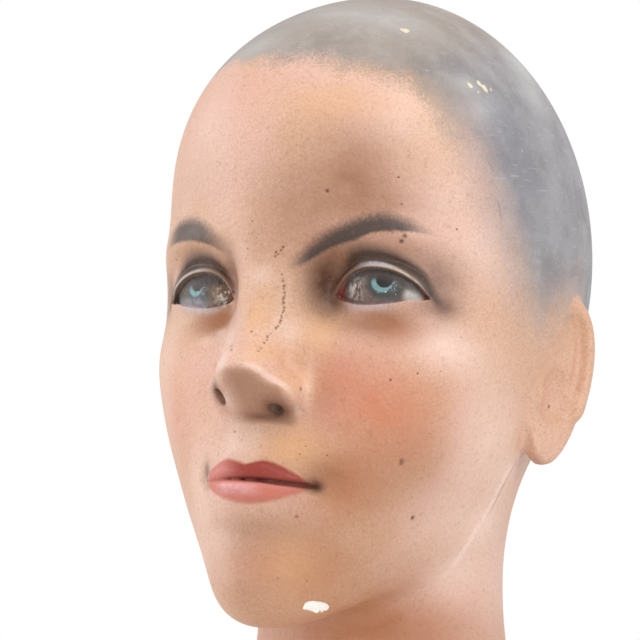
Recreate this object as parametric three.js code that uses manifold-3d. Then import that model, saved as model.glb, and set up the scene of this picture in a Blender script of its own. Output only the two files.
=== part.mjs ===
// A cast and painted mannequin head, life size, with its neck, cut flat below.
// Millimetres. +Z is up, the face looks along -Y and the flat foot of the neck lies on Z = 0.
// The head is one smooth field of distances: negative inside, positive outside.
// Its masses are blended softly, as a modeller in clay would, and a net of facets is drawn over it.
import * as THREE from "three";
import { SimplifyModifier } from "three/addons/modifiers/SimplifyModifier.js";
import { mergeVertices } from "three/addons/utils/BufferGeometryUtils.js";
import Module from "manifold-3d";

// Pose: the head has its own frame, x to its left, y to its back, z to its crown,
// with the origin at the root of the nose. It leans back on the neck.
const LEAN_BACK = THREE.MathUtils.degToRad(10);
const NOSE_ROOT = new THREE.Vector3(0, -90, 225);

// Skull: a big egg behind and a smaller one under the forehead, [x, y, z].
const CRANIUM_AT = [0, 92, 25];
const CRANIUM_RADII = [76, 95, 100];
const FOREHEAD_AT = [0, 56, 48];
const FOREHEAD_RADII = [62, 63, 60];
const SKULL_BLEND = 20;

// Face: sections from the chin up. Each has its height, half width, how far forward it reaches,
// how far back it is widest, and how square it is (2 is an ellipse).
const FACE_SECTIONS = [
  { z: -122, half: 14, front: -13, widest: 36, square: 2.0 },
  { z: -112, half: 23, front: -3, widest: 46, square: 2.05 },
  { z: -102, half: 30.5, front: 0.5, widest: 56, square: 2.1 },
  { z: -90, half: 40.2, front: -0.5, widest: 64, square: 2.1 },
  { z: -78, half: 48.3, front: 0, widest: 68, square: 2.1 },
  { z: -64, half: 55.3, front: 1.2, widest: 69, square: 2.12 },
  { z: -48, half: 61, front: 2.4, widest: 68, square: 2.2 },
  { z: -30, half: 64, front: 2.5, widest: 66, square: 2.25 },
  { z: -12, half: 64.6, front: 3, widest: 70, square: 2.25 },
  { z: 6, half: 64.2, front: 4.5, widest: 78, square: 2.15 },
  { z: 30, half: 63, front: 3.5, widest: 80, square: 2.1 },
];
const FACE_BACK_DEPTH = 52;
const FACE_TOP = 20;
const FACE_TOP_BLEND = 30;

// Underside of the jaw: a plane that rises backwards from the chin.
const JAW_SLOPE = THREE.MathUtils.degToRad(18);
const CHIN_BOTTOM = -117.8;
const CHIN_EDGE_Y = 8;
const JAW_BLEND = 22;

// Soft swellings and hollows of the front of the face.
const FRONT_FADE = [45, 20];
const MUZZLE = { proud: 6, wide: 17.5, tall: 17, z: -66, sharpX: 2.4, sharpZ: 2.6 };
const CHIN = { proud: 3, wide: 16, tall: 11, z: -101, sharpX: 2.2, sharpZ: 2 };
const CHIN_FOLD = { proud: -1, wide: 15, tall: 4, z: -83.5, sharpX: 2, sharpZ: 2 };
const BROW = { proud: 2.6, at: [46, 16, 13], spread: [16, 24, 9] };
const CHEEKBONE = { proud: 1.2, at: [50, 24, -26], spread: [15, 26, 13] };
const MOUTH_CORNER = { proud: -2.2, at: [19.6, 5, -68.6], spread: [3.2, 9, 2.6] };

// Eyes: one socket, ball and pair of lids, mirrored. The ball is turned outwards.
const EYE_AT = [31.7, 24.3, 0.5];
const EYE_TURN = THREE.MathUtils.degToRad(18);
const EYEBALL_RADII = [19, 13.2, 13];
const LID_THICKNESS = 2;
const LEFT_EYE_HIGHER = { by: 0.5, within: 15 };
const SOCKET_Z = -2;
const SOCKET_TALL = [14, 13];
const SOCKET_SHARP = 2.3;
const SOCKET_TILT = { perMillimetre: 0.06, around: 36 };
const SOCKET_FADE = [60, 30];
// [distance from the face's middle, depth or height]
const SOCKET_DEPTH = [[0, 0], [6, 0], [12, 4.5], [19, 13], [26, 13], [36, 10.3], [46, 6.5], [54, 2.5], [61, 0.3], [70, 0]];
const UPPER_LID = [[14, -14], [19.2, -4.2], [22, 0.4], [25, 3.4], [28.5, 5], [32.5, 5.5],
  [37, 5.1], [41, 3.9], [45, 1.6], [47.6, -0.8], [49.4, -3.6], [54, -12]];
const LOWER_LID = [[14, 4], [19.2, -4.2], [22.5, -6], [28, -7.1], [35, -6.8],
  [41.5, -5.6], [45.5, -4.6], [49.4, -3.6], [54, 3]];
const LID_CREASE = [[17, -3], [20.5, 2.2], [25, 6.4], [29.5, 8.1], [34.2, 8.7],
  [39, 8.2], [44, 6.3], [48.4, 3.2], [51.2, -0.5], [54, -5]];
const CREASE_DEPTH = 0.8;
const CREASE_WIDTH = 1.1;
const CREASE_ENDS = { inner: [18, 26], outer: [54, 46] };
const LID_BLEND = { upper: 3.5, lower: 10.5, from: 4, to: -6 };
const LID_EDGE = 0.9;
const BALL_EDGE = 0.5;

// Nose: bridge, tip, two wings and the strip between the nostrils.
const BRIDGE = { from: [0, 4, 0], to: [0, -7.5, -28], radii: [6.8, 8.2] };
const NOSE_TIP = { at: [0, -10.8, -33.5], radii: [10.5, 10.6, 8.8], blend: 9 };
const NOSE_WING = { at: [8.8, -3, -39], radii: [8, 12, 8], blend: 5 };
const NOSE_STRIP = { at: [0, -5.5, -41.5], radii: [7, 11, 6.5], blend: 6 };
// The underside is a pair of planes that rise forwards and a little to each side.
const NOSE_UNDER = { z: -47.6, forward: 5, rise: 0.78, aside: 0.12, blend: 3.6 };
const NOSE_JOIN = { low: 5, high: 14, from: -36, to: -14 };
// The two nostrils came out of the mould unevenly: the left one is a shallow dent.
const LEFT_NOSTRIL = { at: [9, -6.8, -45], radii: [2.6, 3.2, 2.4] };
const RIGHT_NOSTRIL = { at: [-9.9, -11, -41.6], radii: [1.5, 4.6, 3] };
const NOSTRIL_BLEND = 1.8;

// Lips: heights of the red edge, the parting and the lower edge, out from the middle.
const LIP_TOP = [[0, -62.7], [3.3, -61.8], [7, -61.2], [12, -62.7], [16.5, -65.2], [20.3, -68.2]];
const LIP_PARTING = [[0, -67.9], [6, -67.9], [13, -68.3], [20.3, -68.5]];
const LIP_BOTTOM = [[0, -75.7], [6, -75], [12, -73.2], [16.5, -71], [20.3, -68.7]];
const LIP_REACH = 20.8;
const LIP_TAPER = 0.6;
const LIP_THINNEST = 0.4;
const UPPER_LIP = { proud: 6.84, above: 0.75, below: 0.45 };
const LOWER_LIP = { proud: 7.98, above: 0.5, below: 0.8 };
const PHILTRUM = { deep: 1, wide: 3, top: [-48.5, -54], foot: [-63.5, -59.5] };

// Ears: a disc that leans back and stands out behind, with its rim, its bowl and its flap.
const EAR_AT = [70, 92, -20];
const EAR_LEAN = THREE.MathUtils.degToRad(4);
const EAR_FLARE = THREE.MathUtils.degToRad(28);
const EAR_TALL = 31;
const EAR_WIDE = 16.5;
const EAR_TAPER = { middle: 0.86, perMillimetre: 0.0045, forward: 0.1 };
const EAR_HALF_THICKNESS = 3;
const EAR_EDGE = 3.5;
const EAR_RIM = { inset: 2.6, out: 2.6, radius: 2.9, blend: 2.5, low: [-10, -22], foreQ: [4, 11], foreP: [16, 6] };
const EAR_BOWL = { at: [2.5, -6, 5], radii: [8.5, 11.5, 6.5], blend: 2.5 };
const EAR_GROOVE = { inset: 7.2, out: 4, radius: 2.2, blend: 2, low: [-2, -12], foreQ: [2, 8], foreP: [20, 10] };
const EAR_FLAP = { at: [11.5, -7, 2], radii: [3.6, 5.5, 3.4], blend: 3 };
const EAR_FADE = 8;
const EAR_JOIN = 5;

// Neck, upright: [height, radius] and [height, how far back its middle is].
const NECK_RADII = [[-40, 74], [0, 70], [25, 61], [50, 54], [75, 49.5], [92, 47], [108, 46], [135, 47], [165, 50], [200, 52]];
const NECK_MIDDLE = [[0, 4], [100, 0], [200, 4]];
const NECK_TOP = 190;
const NECK_TOP_BLEND = 40;
const NECK_JOIN = 28;
// The neck is drawn down to here and then sawn off level at Z = 0.
const NECK_STUB = -25;

// Net: [start, end, step] of each stretch of grid lines in the head's frame, and how many facets are left
// when the flat places have been thinned out.
const GRID_X = [[-96, -84, 6], [-84, -24, 3], [-24, 24, 2.6], [24, 84, 3], [84, 96, 6]];
const GRID_Y = [[-30, 24, 3], [24, 78, 7], [78, 120, 3], [120, 218, 10]];
const GRID_Z = [[-270, -130, 12], [-130, -80, 5], [-80, -58, 2.2], [-58, -30, 2.8],
  [-30, -12, 3], [-12, 14, 2.2], [14, 36, 4], [36, 144, 8]];
const FACETS = 9600;
const SETTLE_STEPS = 5;
const SLOPE_STEP = 0.02;
const BARELY = 0.01;
const CALM_ROUNDS = 12;
const LEAST_SLOPE = 0.05;
const TINY = 1e-6;
const SAME_PLACE = 1e-4;
const SAW_BOX = 600;

const PAINT_COLOUR = 0xd9a88c;
const PAINT_ROUGHNESS = 0.5;

const { abs, cos, exp, hypot, max, min, sin, tanh } = Math;
const clamp = (value, low, high) => min(max(value, low), high);

// Rises smoothly from 0 to 1 as t goes from a to b.
function ease([a, b], t) {
  const s = clamp((t - a) / (b - a), 0, 1);
  return s * s * (3 - 2 * s);
}

// A natural cubic spline through [t, value] points, held level past its ends.
function through(points) {
  const count = points.length;
  const t = points.map((point) => point[0]);
  const v = points.map((point) => point[1]);
  const bend = new Array(count).fill(0);
  const share = new Array(count).fill(0);
  const rest = new Array(count).fill(0);
  for (let i = 1; i < count - 1; i++) {
    const before = t[i] - t[i - 1];
    const after = t[i + 1] - t[i];
    const change = 6 * ((v[i + 1] - v[i]) / after - (v[i] - v[i - 1]) / before);
    const scale = 2 * (before + after) - before * share[i - 1];
    share[i] = after / scale;
    rest[i] = (change - before * rest[i - 1]) / scale;
  }
  for (let i = count - 2; i > 0; i--) {
    bend[i] = rest[i] - share[i] * bend[i + 1];
  }
  return (where) => {
    const at = clamp(where, t[0], t[count - 1]);
    let i = 0;
    while (i < count - 2 && at > t[i + 1]) i++;
    const width = t[i + 1] - t[i];
    const up = at - t[i];
    const down = t[i + 1] - at;
    const curved = (bend[i] * down ** 3 + bend[i + 1] * up ** 3) / (6 * width);
    const left = (v[i] / width - (bend[i] * width) / 6) * down;
    const right = (v[i + 1] / width - (bend[i + 1] * width) / 6) * up;
    return curved + left + right;
  };
}

// Joins two fields, rounding the seam between them over the given blend.
function join(a, b, blend) {
  const h = max(blend - abs(a - b), 0) / blend;
  return min(a, b) - (h * h * h * blend) / 6;
}

// Keeps only what is inside both fields, or cuts one out of the other.
const keep = (a, b, blend) => -join(-a, -b, blend);
const carve = (a, b, blend) => keep(a, -b, blend);

// Signed distance, nearly, to an ellipsoid.
function ellipsoid(x, y, z, [cx, cy, cz], [rx, ry, rz]) {
  const [px, py, pz] = [(x - cx) / rx, (y - cy) / ry, (z - cz) / rz];
  const inside = hypot(px, py, pz) + TINY;
  return (inside * (inside - 1)) / (hypot(px / rx, py / ry, pz / rz) + TINY);
}

function roundCone(x, y, z, { from, to, radii }) {
  const way = to.map((value, i) => value - from[i]);
  const off = [x - from[0], y - from[1], z - from[2]];
  const dot = (p, q) => p[0] * q[0] + p[1] * q[1] + p[2] * q[2];
  const t = clamp(dot(off, way) / dot(way, way), 0, 1);
  const gap = hypot(off[0] - t * way[0], off[1] - t * way[1], off[2] - t * way[2]);
  return gap - (radii[0] + (radii[1] - radii[0]) * t);
}

// How far a round swelling lifts the surface at a point.
function swelling(x, y, z, { proud, at, spread }) {
  const [px, py, pz] = [(x - at[0]) / spread[0], (y - at[1]) / spread[1], (z - at[2]) / spread[2]];
  return proud * exp(-(px * px + py * py + pz * pz));
}

// The same for a swelling that is set by width and height alone.
function mound(x, z, { proud, wide, tall, z: level, sharpX, sharpZ }) {
  return proud * exp(-(abs(x / wide) ** sharpX) - abs((z - level) / tall) ** sharpZ);
}

const sectionCurve = (name) => through(FACE_SECTIONS.map((section) => [section.z, section[name]]));
const faceHalf = sectionCurve("half");
const faceFront = sectionCurve("front");
const faceWidest = sectionCurve("widest");
const faceSquare = sectionCurve("square");
const socketDepth = through(SOCKET_DEPTH);
const upperLid = through(UPPER_LID);
const lowerLid = through(LOWER_LID);
const lidCrease = through(LID_CREASE);
const lipTop = through(LIP_TOP);
const lipParting = through(LIP_PARTING);
const lipBottom = through(LIP_BOTTOM);
const neckRadius = through(NECK_RADII);
const neckMiddle = through(NECK_MIDDLE);

function faceMass(x, y, z) {
  const middle = faceWidest(z);
  const square = faceSquare(z);
  const depth = y < middle ? middle + faceFront(z) : FACE_BACK_DEPTH;
  const ratio = (abs(x / faceHalf(z)) ** square + abs((y - middle) / depth) ** square) ** (1 / square) + TINY;
  return hypot(x, y - middle) * (1 - 1 / ratio);
}

function skullAndJaw(x, y, z) {
  const cranium = ellipsoid(x, y, z, CRANIUM_AT, CRANIUM_RADII);
  const forehead = ellipsoid(x, y, z, FOREHEAD_AT, FOREHEAD_RADII);
  const under = (y - CHIN_EDGE_Y) * sin(JAW_SLOPE) - (z - CHIN_BOTTOM) * cos(JAW_SLOPE);
  const topped = keep(faceMass(x, y, z), z - FACE_TOP, FACE_TOP_BLEND);
  const jaw = keep(topped, under, JAW_BLEND);
  return join(jaw, join(cranium, forehead, SKULL_BLEND), SKULL_BLEND);
}

function softForms(out, x, y, z, front) {
  const middle = mound(x, z, MUZZLE) + mound(x, z, CHIN) + mound(x, z, CHIN_FOLD);
  return front * middle + swelling(out, y, z, BROW) + swelling(out, y, z, CHEEKBONE);
}

function withEye(field, out, y, z, front) {
  const level = z - SOCKET_Z + SOCKET_TILT.perMillimetre * (SOCKET_TILT.around - out);
  const tall = level > 0 ? SOCKET_TALL[1] : SOCKET_TALL[0];
  const hollow = socketDepth(out) * exp(-(abs(level / tall) ** SOCKET_SHARP)) * ease(SOCKET_FADE, y);
  const [dx, dy, dz] = [out - EYE_AT[0], y - EYE_AT[1], z - EYE_AT[2]];
  const along = dx * cos(EYE_TURN) + dy * sin(EYE_TURN);
  const outward = dx * sin(EYE_TURN) - dy * cos(EYE_TURN);
  const ball = ellipsoid(along, outward, dz, [0, 0, 0], EYEBALL_RADII);
  const lids = ellipsoid(along, outward, dz, [0, 0, 0], EYEBALL_RADII.map((radius) => radius + LID_THICKNESS));
  const soft = LID_BLEND.upper + (LID_BLEND.lower - LID_BLEND.upper) * ease([LID_BLEND.from, LID_BLEND.to], z);
  const groove = exp(-(((z - lidCrease(out)) / CREASE_WIDTH) ** 2))
    * ease(CREASE_ENDS.inner, out) * ease(CREASE_ENDS.outer, out) * front;
  const lidded = join(field + hollow, lids, soft) + CREASE_DEPTH * groove;
  const opening = max(z - upperLid(out), lowerLid(out) - z, -outward);
  return join(carve(lidded, opening, LID_EDGE), ball, BALL_EDGE);
}

function withNose(field, x, out, y, z) {
  let nose = roundCone(x, y, z, BRIDGE);
  nose = join(nose, ellipsoid(x, y, z, NOSE_TIP.at, NOSE_TIP.radii), NOSE_TIP.blend);
  nose = join(nose, ellipsoid(out, y, z, NOSE_WING.at, NOSE_WING.radii), NOSE_WING.blend);
  nose = join(nose, ellipsoid(x, y, z, NOSE_STRIP.at, NOSE_STRIP.radii), NOSE_STRIP.blend);
  const { rise, aside, forward } = NOSE_UNDER;
  const under = NOSE_UNDER.z - z + rise * (-y - forward) + aside * out;
  nose = keep(nose, under / hypot(1, rise, aside), NOSE_UNDER.blend);
  const soft = NOSE_JOIN.low + (NOSE_JOIN.high - NOSE_JOIN.low) * ease([NOSE_JOIN.from, NOSE_JOIN.to], z);
  const left = ellipsoid(x, y, z, LEFT_NOSTRIL.at, LEFT_NOSTRIL.radii);
  const right = ellipsoid(x, y, z, RIGHT_NOSTRIL.at, RIGHT_NOSTRIL.radii);
  return carve(join(field, nose, soft), min(left, right), NOSTRIL_BLEND);
}

// How far one lip stands out at a height, swelling between its two edges.
function lip(z, top, bottom, { proud, above, below }) {
  const t = clamp((top - z) / max(top - bottom, LIP_THINNEST), 0, 1);
  return proud * t ** above * (1 - t) ** below;
}

function lipsAndPhiltrum(x, out, z) {
  const parting = lipParting(out);
  const taper = clamp(1 - (out / LIP_REACH) ** 2, 0, 1) ** LIP_TAPER;
  const both = lip(z, lipTop(out), parting, UPPER_LIP) + lip(z, parting, lipBottom(out), LOWER_LIP);
  const groove = exp(-((x / PHILTRUM.wide) ** 2)) * ease(PHILTRUM.top, z) * ease(PHILTRUM.foot, z);
  return taper * both - PHILTRUM.deep * groove;
}

function ear(out, y, z) {
  const [dx, dy, dz] = [out - EAR_AT[0], y - EAR_AT[1], z - EAR_AT[2]];
  const p = dz * cos(EAR_LEAN) + dy * sin(EAR_LEAN);
  const forward = dz * sin(EAR_LEAN) - dy * cos(EAR_LEAN);
  const q = forward * cos(EAR_FLARE) - dx * sin(EAR_FLARE);
  const n = dx * cos(EAR_FLARE) + forward * sin(EAR_FLARE);
  const wide = EAR_WIDE * (EAR_TAPER.middle + EAR_TAPER.perMillimetre * p);
  const edge = ellipsoid(q + EAR_TAPER.forward * p, p, 0, [0, 0, 0], [wide, EAR_TALL, 1]);
  const ring = ({ inset, out: lift, radius, low, foreQ, foreP }) => {
    const faded = max(ease(low, p), ease(foreQ, q) * ease(foreP, p));
    return hypot(edge + inset, n - lift) - radius + EAR_FADE * faded;
  };
  let shape = keep(edge, abs(n) - EAR_HALF_THICKNESS, EAR_EDGE);
  shape = join(shape, ring(EAR_RIM), EAR_RIM.blend);
  shape = carve(shape, ellipsoid(q, p, n, EAR_BOWL.at, EAR_BOWL.radii), EAR_BOWL.blend);
  shape = carve(shape, ring(EAR_GROOVE), EAR_GROOVE.blend);
  return join(shape, ellipsoid(q, p, n, EAR_FLAP.at, EAR_FLAP.radii), EAR_FLAP.blend);
}

function head(x, y, z) {
  const out = abs(x);
  const front = ease(FRONT_FADE, y);
  let field = skullAndJaw(x, y, z) - softForms(out, x, y, z, front);
  field = withEye(field, out, y, z - LEFT_EYE_HIGHER.by * tanh(x / LEFT_EYE_HIGHER.within), front);
  field = withNose(field, x, out, y, z);
  field -= front * lipsAndPhiltrum(x, out, z) + swelling(out, y, z, MOUTH_CORNER);
  return join(field, ear(out, y, z), EAR_JOIN);
}

function neck(x, y, z) {
  const round = hypot(x, y - neckMiddle(z)) - neckRadius(z);
  return keep(round, z - NECK_TOP, NECK_TOP_BLEND);
}

// The whole bust in the head's frame: the neck is upright in the part's own frame.
const toPart = new THREE.Matrix4().makeTranslation(NOSE_ROOT).multiply(new THREE.Matrix4().makeRotationX(-LEAN_BACK));
const place = new THREE.Vector3();
function bust(x, y, z) {
  place.set(x, y, z).applyMatrix4(toPart);
  const whole = join(head(x, y, z), neck(place.x, place.y, place.z), NECK_JOIN);
  return max(whole, NECK_STUB - place.z);
}

function gridLines(stretches) {
  const lines = [stretches[0][0]];
  for (const [start, end, step] of stretches) {
    const count = Math.round((end - start) / step);
    for (let i = 1; i <= count; i++) lines.push(start + ((end - start) * i) / count);
  }
  return lines;
}

// Moves a point along the field's slope until it lies on the surface.
function settle(field, point, reach) {
  const start = point.clone();
  for (let i = 0; i < SETTLE_STEPS; i++) {
    const { x, y, z } = point;
    const value = field(x, y, z);
    const slope = new THREE.Vector3(
      field(x + SLOPE_STEP, y, z) - field(x - SLOPE_STEP, y, z),
      field(x, y + SLOPE_STEP, z) - field(x, y - SLOPE_STEP, z),
      field(x, y, z + SLOPE_STEP) - field(x, y, z - SLOPE_STEP),
    ).divideScalar(2 * SLOPE_STEP);
    point.addScaledVector(slope, -value / max(slope.lengthSq(), LEAST_SLOPE));
    const gone = point.clone().sub(start);
    point.copy(start).add(gone.clampLength(0, reach));
  }
  return point;
}

const STEPS = [[1, 0, 0], [0, 1, 0], [0, 0, 1]];

// A grid face whose corners are in and out by turns would let two sheets of the net meet along a line.
// The corner nearest the surface changes sides there, round by round, until no such face is left.
function calm(value, counts, index) {
  const sides = [[0, 1], [1, 2], [2, 0]].map((pair) => pair.map((axis) => STEPS[axis]));
  let changed = true;
  for (let round = 0; changed && round < CALM_ROUNDS; round++) {
    changed = false;
    for (const [u, v] of sides) {
      const across = [[0, 0, 0], u, u.map((step, axis) => step + v[axis]), v];
      const [ni, nj, nk] = counts.map((count, axis) => count - u[axis] - v[axis]);
      for (let i = 0; i < ni; i++) {
        for (let j = 0; j < nj; j++) {
          for (let k = 0; k < nk; k++) {
            const face = across.map(([a, b, c]) => index(i + a, j + b, k + c));
            const [p, q, r, s] = face.map((at) => value[at] < 0);
            if (p !== r || q !== s || p === q) continue;
            const nearest = face.reduce((best, at) => (abs(value[at]) < abs(value[best]) ? at : best));
            value[nearest] = value[nearest] < 0 ? BARELY : -BARELY;
            changed = true;
          }
        }
      }
    }
  }
}

// Draws a net over the field's surface: one point in each cell that it crosses,
// and two triangles over each grid edge that it crosses.
function netOver(field, xs, ys, zs) {
  const [nx, ny, nz] = [xs.length, ys.length, zs.length];
  const index = (i, j, k) => (i * ny + j) * nz + k;
  const value = new Float64Array(nx * ny * nz);
  for (let i = 0; i < nx; i++) {
    for (let j = 0; j < ny; j++) {
      for (let k = 0; k < nz; k++) value[index(i, j, k)] = field(xs[i], ys[j], zs[k]);
    }
  }
  calm(value, [nx, ny, nz], index);
  const corners = [0, 1, 2, 3, 4, 5, 6, 7].map((bits) => [bits & 1, (bits >> 1) & 1, bits >> 2]);
  const edges = corners.flatMap((a, from) => [1, 2, 4].filter((bit) => !(from & bit)).map((bit) => [from, from | bit]));
  const cellPoint = new Map();
  const points = [];
  for (let i = 0; i < nx - 1; i++) {
    for (let j = 0; j < ny - 1; j++) {
      for (let k = 0; k < nz - 1; k++) {
        const at = corners.map(([a, b, c]) => new THREE.Vector3(xs[i + a], ys[j + b], zs[k + c]));
        const level = corners.map(([a, b, c]) => value[index(i + a, j + b, k + c)]);
        const crossed = edges.filter(([a, b]) => level[a] < 0 !== level[b] < 0);
        if (crossed.length === 0) continue;
        const sum = new THREE.Vector3();
        for (const [a, b] of crossed) sum.add(at[a].clone().lerp(at[b], level[a] / (level[a] - level[b])));
        const reach = 0.5 * min(xs[i + 1] - xs[i], ys[j + 1] - ys[j], zs[k + 1] - zs[k]);
        cellPoint.set(index(i, j, k), points.length);
        points.push(settle(field, sum.divideScalar(crossed.length), reach));
      }
    }
  }
  const triangles = [];
  // The diagonal that lies nearer the surface splits each four-sided face.
  const addQuad = (quad, flipped) => {
    const [a, b, c, d] = flipped ? [...quad].reverse() : quad;
    const miss = (p, q) => {
      const m = points[p].clone().lerp(points[q], 0.5);
      return abs(field(m.x, m.y, m.z));
    };
    if (miss(a, c) <= miss(b, d)) triangles.push(a, b, c, a, c, d);
    else triangles.push(b, c, d, b, d, a);
  };
  for (let i = 1; i < nx - 1; i++) {
    for (let j = 1; j < ny - 1; j++) {
      for (let k = 1; k < nz - 1; k++) {
        const here = value[index(i, j, k)];
        STEPS.forEach(([a, b, c], axis) => {
          const there = value[index(i + a, j + b, k + c)];
          if (here < 0 === there < 0) return;
          const [u, v] = [STEPS[(axis + 1) % 3], STEPS[(axis + 2) % 3]];
          const cell = (m, n) => cellPoint.get(index(i - m * u[0] - n * v[0], j - m * u[1] - n * v[1], k - m * u[2] - n * v[2]));
          addQuad([cell(1, 1), cell(0, 1), cell(0, 0), cell(1, 0)], here > 0);
        });
      }
    }
  }
  const geometry = new THREE.BufferGeometry().setFromPoints(points);
  geometry.setIndex(triangles);
  return geometry;
}

// Thins the net out where it is nearly flat, until about this many facets are left.
async function thinned(geometry, facets) {
  const points = geometry.attributes.position.count;
  const spare = Math.round(points * (1 - (3 * facets) / geometry.index.count));
  return new SimplifyModifier().modify(geometry, spare);
}

const wasm = await Module();
wasm.setup();

function toSolid(geometry) {
  const bare = geometry.clone();
  bare.deleteAttribute("normal");
  bare.deleteAttribute("uv");
  const merged = mergeVertices(bare, SAME_PLACE);
  return new wasm.Manifold(new wasm.Mesh({
    numProp: 3,
    vertProperties: new Float32Array(merged.attributes.position.array),
    triVerts: new Uint32Array(merged.index.array),
  }));
}

function toGeometry(solid) {
  const mesh = solid.getMesh();
  const geometry = new THREE.BufferGeometry();
  geometry.setAttribute("position", new THREE.BufferAttribute(new Float32Array(mesh.vertProperties), 3));
  geometry.setIndex(new THREE.BufferAttribute(new Uint32Array(mesh.triVerts), 1));
  geometry.computeVertexNormals();
  return geometry;
}

// The neck runs on below the foot and is sawn off level there.
function sawnLevel(geometry) {
  const above = new THREE.BoxGeometry(SAW_BOX, SAW_BOX, SAW_BOX);
  above.translate(0, 0, SAW_BOX / 2);
  return toGeometry(toSolid(geometry).intersect(toSolid(above)));
}

const net = netOver(bust, gridLines(GRID_X), gridLines(GRID_Y), gridLines(GRID_Z));
const skin = await thinned(net, FACETS);
skin.applyMatrix4(toPart);

const headMesh = new THREE.Mesh(
  sawnLevel(skin),
  new THREE.MeshStandardMaterial({ color: PAINT_COLOUR, roughness: PAINT_ROUGHNESS, metalness: 0 }),
);
headMesh.name = "head_and_neck";

const mannequinHead = new THREE.Group();
mannequinHead.add(headMesh);
export default mannequinHead;
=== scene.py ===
# %% [markdown]
# # A painted mannequin head
# A shop display head is cast in plaster in one piece and painted with an airbrush and a few fine
# brushes. Everything one sees is either the cast's own form or a layer of paint on it, so this
# lesson has two halves: first the form, drawn finely from one field of distances, then the paint,
# laid on in the order in which the painter worked.

import math

import bmesh
import bpy
import numpy as np
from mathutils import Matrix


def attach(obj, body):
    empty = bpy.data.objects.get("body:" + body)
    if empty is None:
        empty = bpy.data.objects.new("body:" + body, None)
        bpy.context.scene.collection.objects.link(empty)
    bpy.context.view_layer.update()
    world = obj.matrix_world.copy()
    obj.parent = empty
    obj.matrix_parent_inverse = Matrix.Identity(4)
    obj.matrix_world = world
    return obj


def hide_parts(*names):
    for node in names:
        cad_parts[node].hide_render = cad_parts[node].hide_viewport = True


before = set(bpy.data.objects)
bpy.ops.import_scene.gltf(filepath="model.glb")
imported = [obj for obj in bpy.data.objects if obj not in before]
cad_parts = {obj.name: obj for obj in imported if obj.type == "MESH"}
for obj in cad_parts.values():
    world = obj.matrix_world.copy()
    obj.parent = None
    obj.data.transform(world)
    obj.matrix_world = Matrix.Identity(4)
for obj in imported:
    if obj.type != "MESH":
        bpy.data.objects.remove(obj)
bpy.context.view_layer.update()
print("nodes:", sorted(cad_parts))

# %% [markdown]
# ## Where the camera stands
# The picture is taken from the figure's front left at the height of its nose, with a long lens,
# level. All lengths here are millimetres until they go into Blender, which wants metres. The
# head has its own frame: x to its left, y to its back, z to its crown, from the root of the nose.

# %% Frame of the head and the camera
MM = 0.001
NOSE_ROOT = np.array([0.0, -90.0, 225.0])
LEAN_BACK = math.radians(10)
CAMERA_TURN = math.radians(26)
CAMERA_DISTANCE = 620.0
CAMERA_ASIDE = 16.3
CAMERA_DOWN = 13.5
LENS = 103.8


def to_part(points):
    """From the head's frame to the bust's upright frame."""
    x, y, z = points.T
    across = math.cos(LEAN_BACK)
    down = math.sin(LEAN_BACK)
    return NOSE_ROOT + np.stack([x, y * across + z * down, z * across - y * down], axis=1)


def to_head(points):
    """From the bust's upright frame to the head's frame."""
    x, y, z = (points - NOSE_ROOT).T
    across = math.cos(LEAN_BACK)
    down = math.sin(LEAN_BACK)
    return np.stack([x, y * across - z * down, z * across + y * down], axis=1)


aside = np.array([math.cos(CAMERA_TURN), math.sin(CAMERA_TURN), 0.0])
ahead = np.array([-math.sin(CAMERA_TURN), math.cos(CAMERA_TURN), 0.0])
camera_place = NOSE_ROOT - CAMERA_DISTANCE * ahead + CAMERA_ASIDE * aside
camera_place[2] -= CAMERA_DOWN
camera = bpy.data.objects.new("camera", bpy.data.cameras.new("camera"))
camera.data.lens = LENS
camera.location = camera_place * MM
camera.rotation_euler = (math.pi / 2, 0, CAMERA_TURN)
bpy.context.collection.objects.link(camera)
bpy.context.scene.camera = camera
print("camera at", np.round(camera_place), "mm")

# %% [markdown]
# ## The sizes of the head
# The modeller blocks the head out as a few big masses and then presses in the sockets and builds
# up the lids, nose and lips. The same masses are named here, with the sizes of the solid model,
# so that the fine surface is the solid's own surface, only drawn with smaller facets.
#
# The points of the lids and lips, and further down those of the pinholes, flakes, chip, hairline,
# brows, jaw edge and crack, were read by eye in the photograph. A program apart from this script
# carried them onto the head along the camera's rays. They were then rounded to a tenth of a
# millimetre, and some were moved.

# %% Skull, face and neck
CRANIUM = ((0, 92, 25), (76, 95, 100))
FOREHEAD = ((0, 56, 48), (62, 63, 60))
SKULL_BLEND = 20
# Half the width, the front, the widest place and the squareness of the face at each level.
LEVELS = [-122, -112, -102, -90, -78, -64, -48, -30, -12, 6, 30]
FACE_HALF = [14, 23, 30.5, 40.2, 48.3, 55.3, 61, 64, 64.6, 64.2, 63]
FACE_FRONT = [-13, -3, 0.5, -0.5, 0, 1.2, 2.4, 2.5, 3, 4.5, 3.5]
FACE_WIDEST = [36, 46, 56, 64, 68, 69, 68, 66, 70, 78, 80]
FACE_SQUARE = [2, 2.05, 2.1, 2.1, 2.1, 2.12, 2.2, 2.25, 2.25, 2.15, 2.1]
FACE_BACK_DEPTH = 52
FACE_TOP = 20
FACE_TOP_BLEND = 30
JAW_SLOPE = math.radians(18)
CHIN_BOTTOM = -117.8
CHIN_EDGE_Y = 8
JAW_BLEND = 22
# The neck's radius and middle line, by the height over the underside.
NECK_RADII = [(-40, 74), (0, 70), (25, 61), (50, 54), (75, 49.5), (92, 47), (108, 46),
              (135, 47), (165, 50), (200, 52)]
NECK_MIDDLE = [(0, 4), (100, 0), (200, 4)]
NECK_TOP = 190
NECK_TOP_BLEND = 40
NECK_JOIN = 28
NECK_STUB = -25
print("the face is given at", len(LEVELS), "levels")

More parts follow.
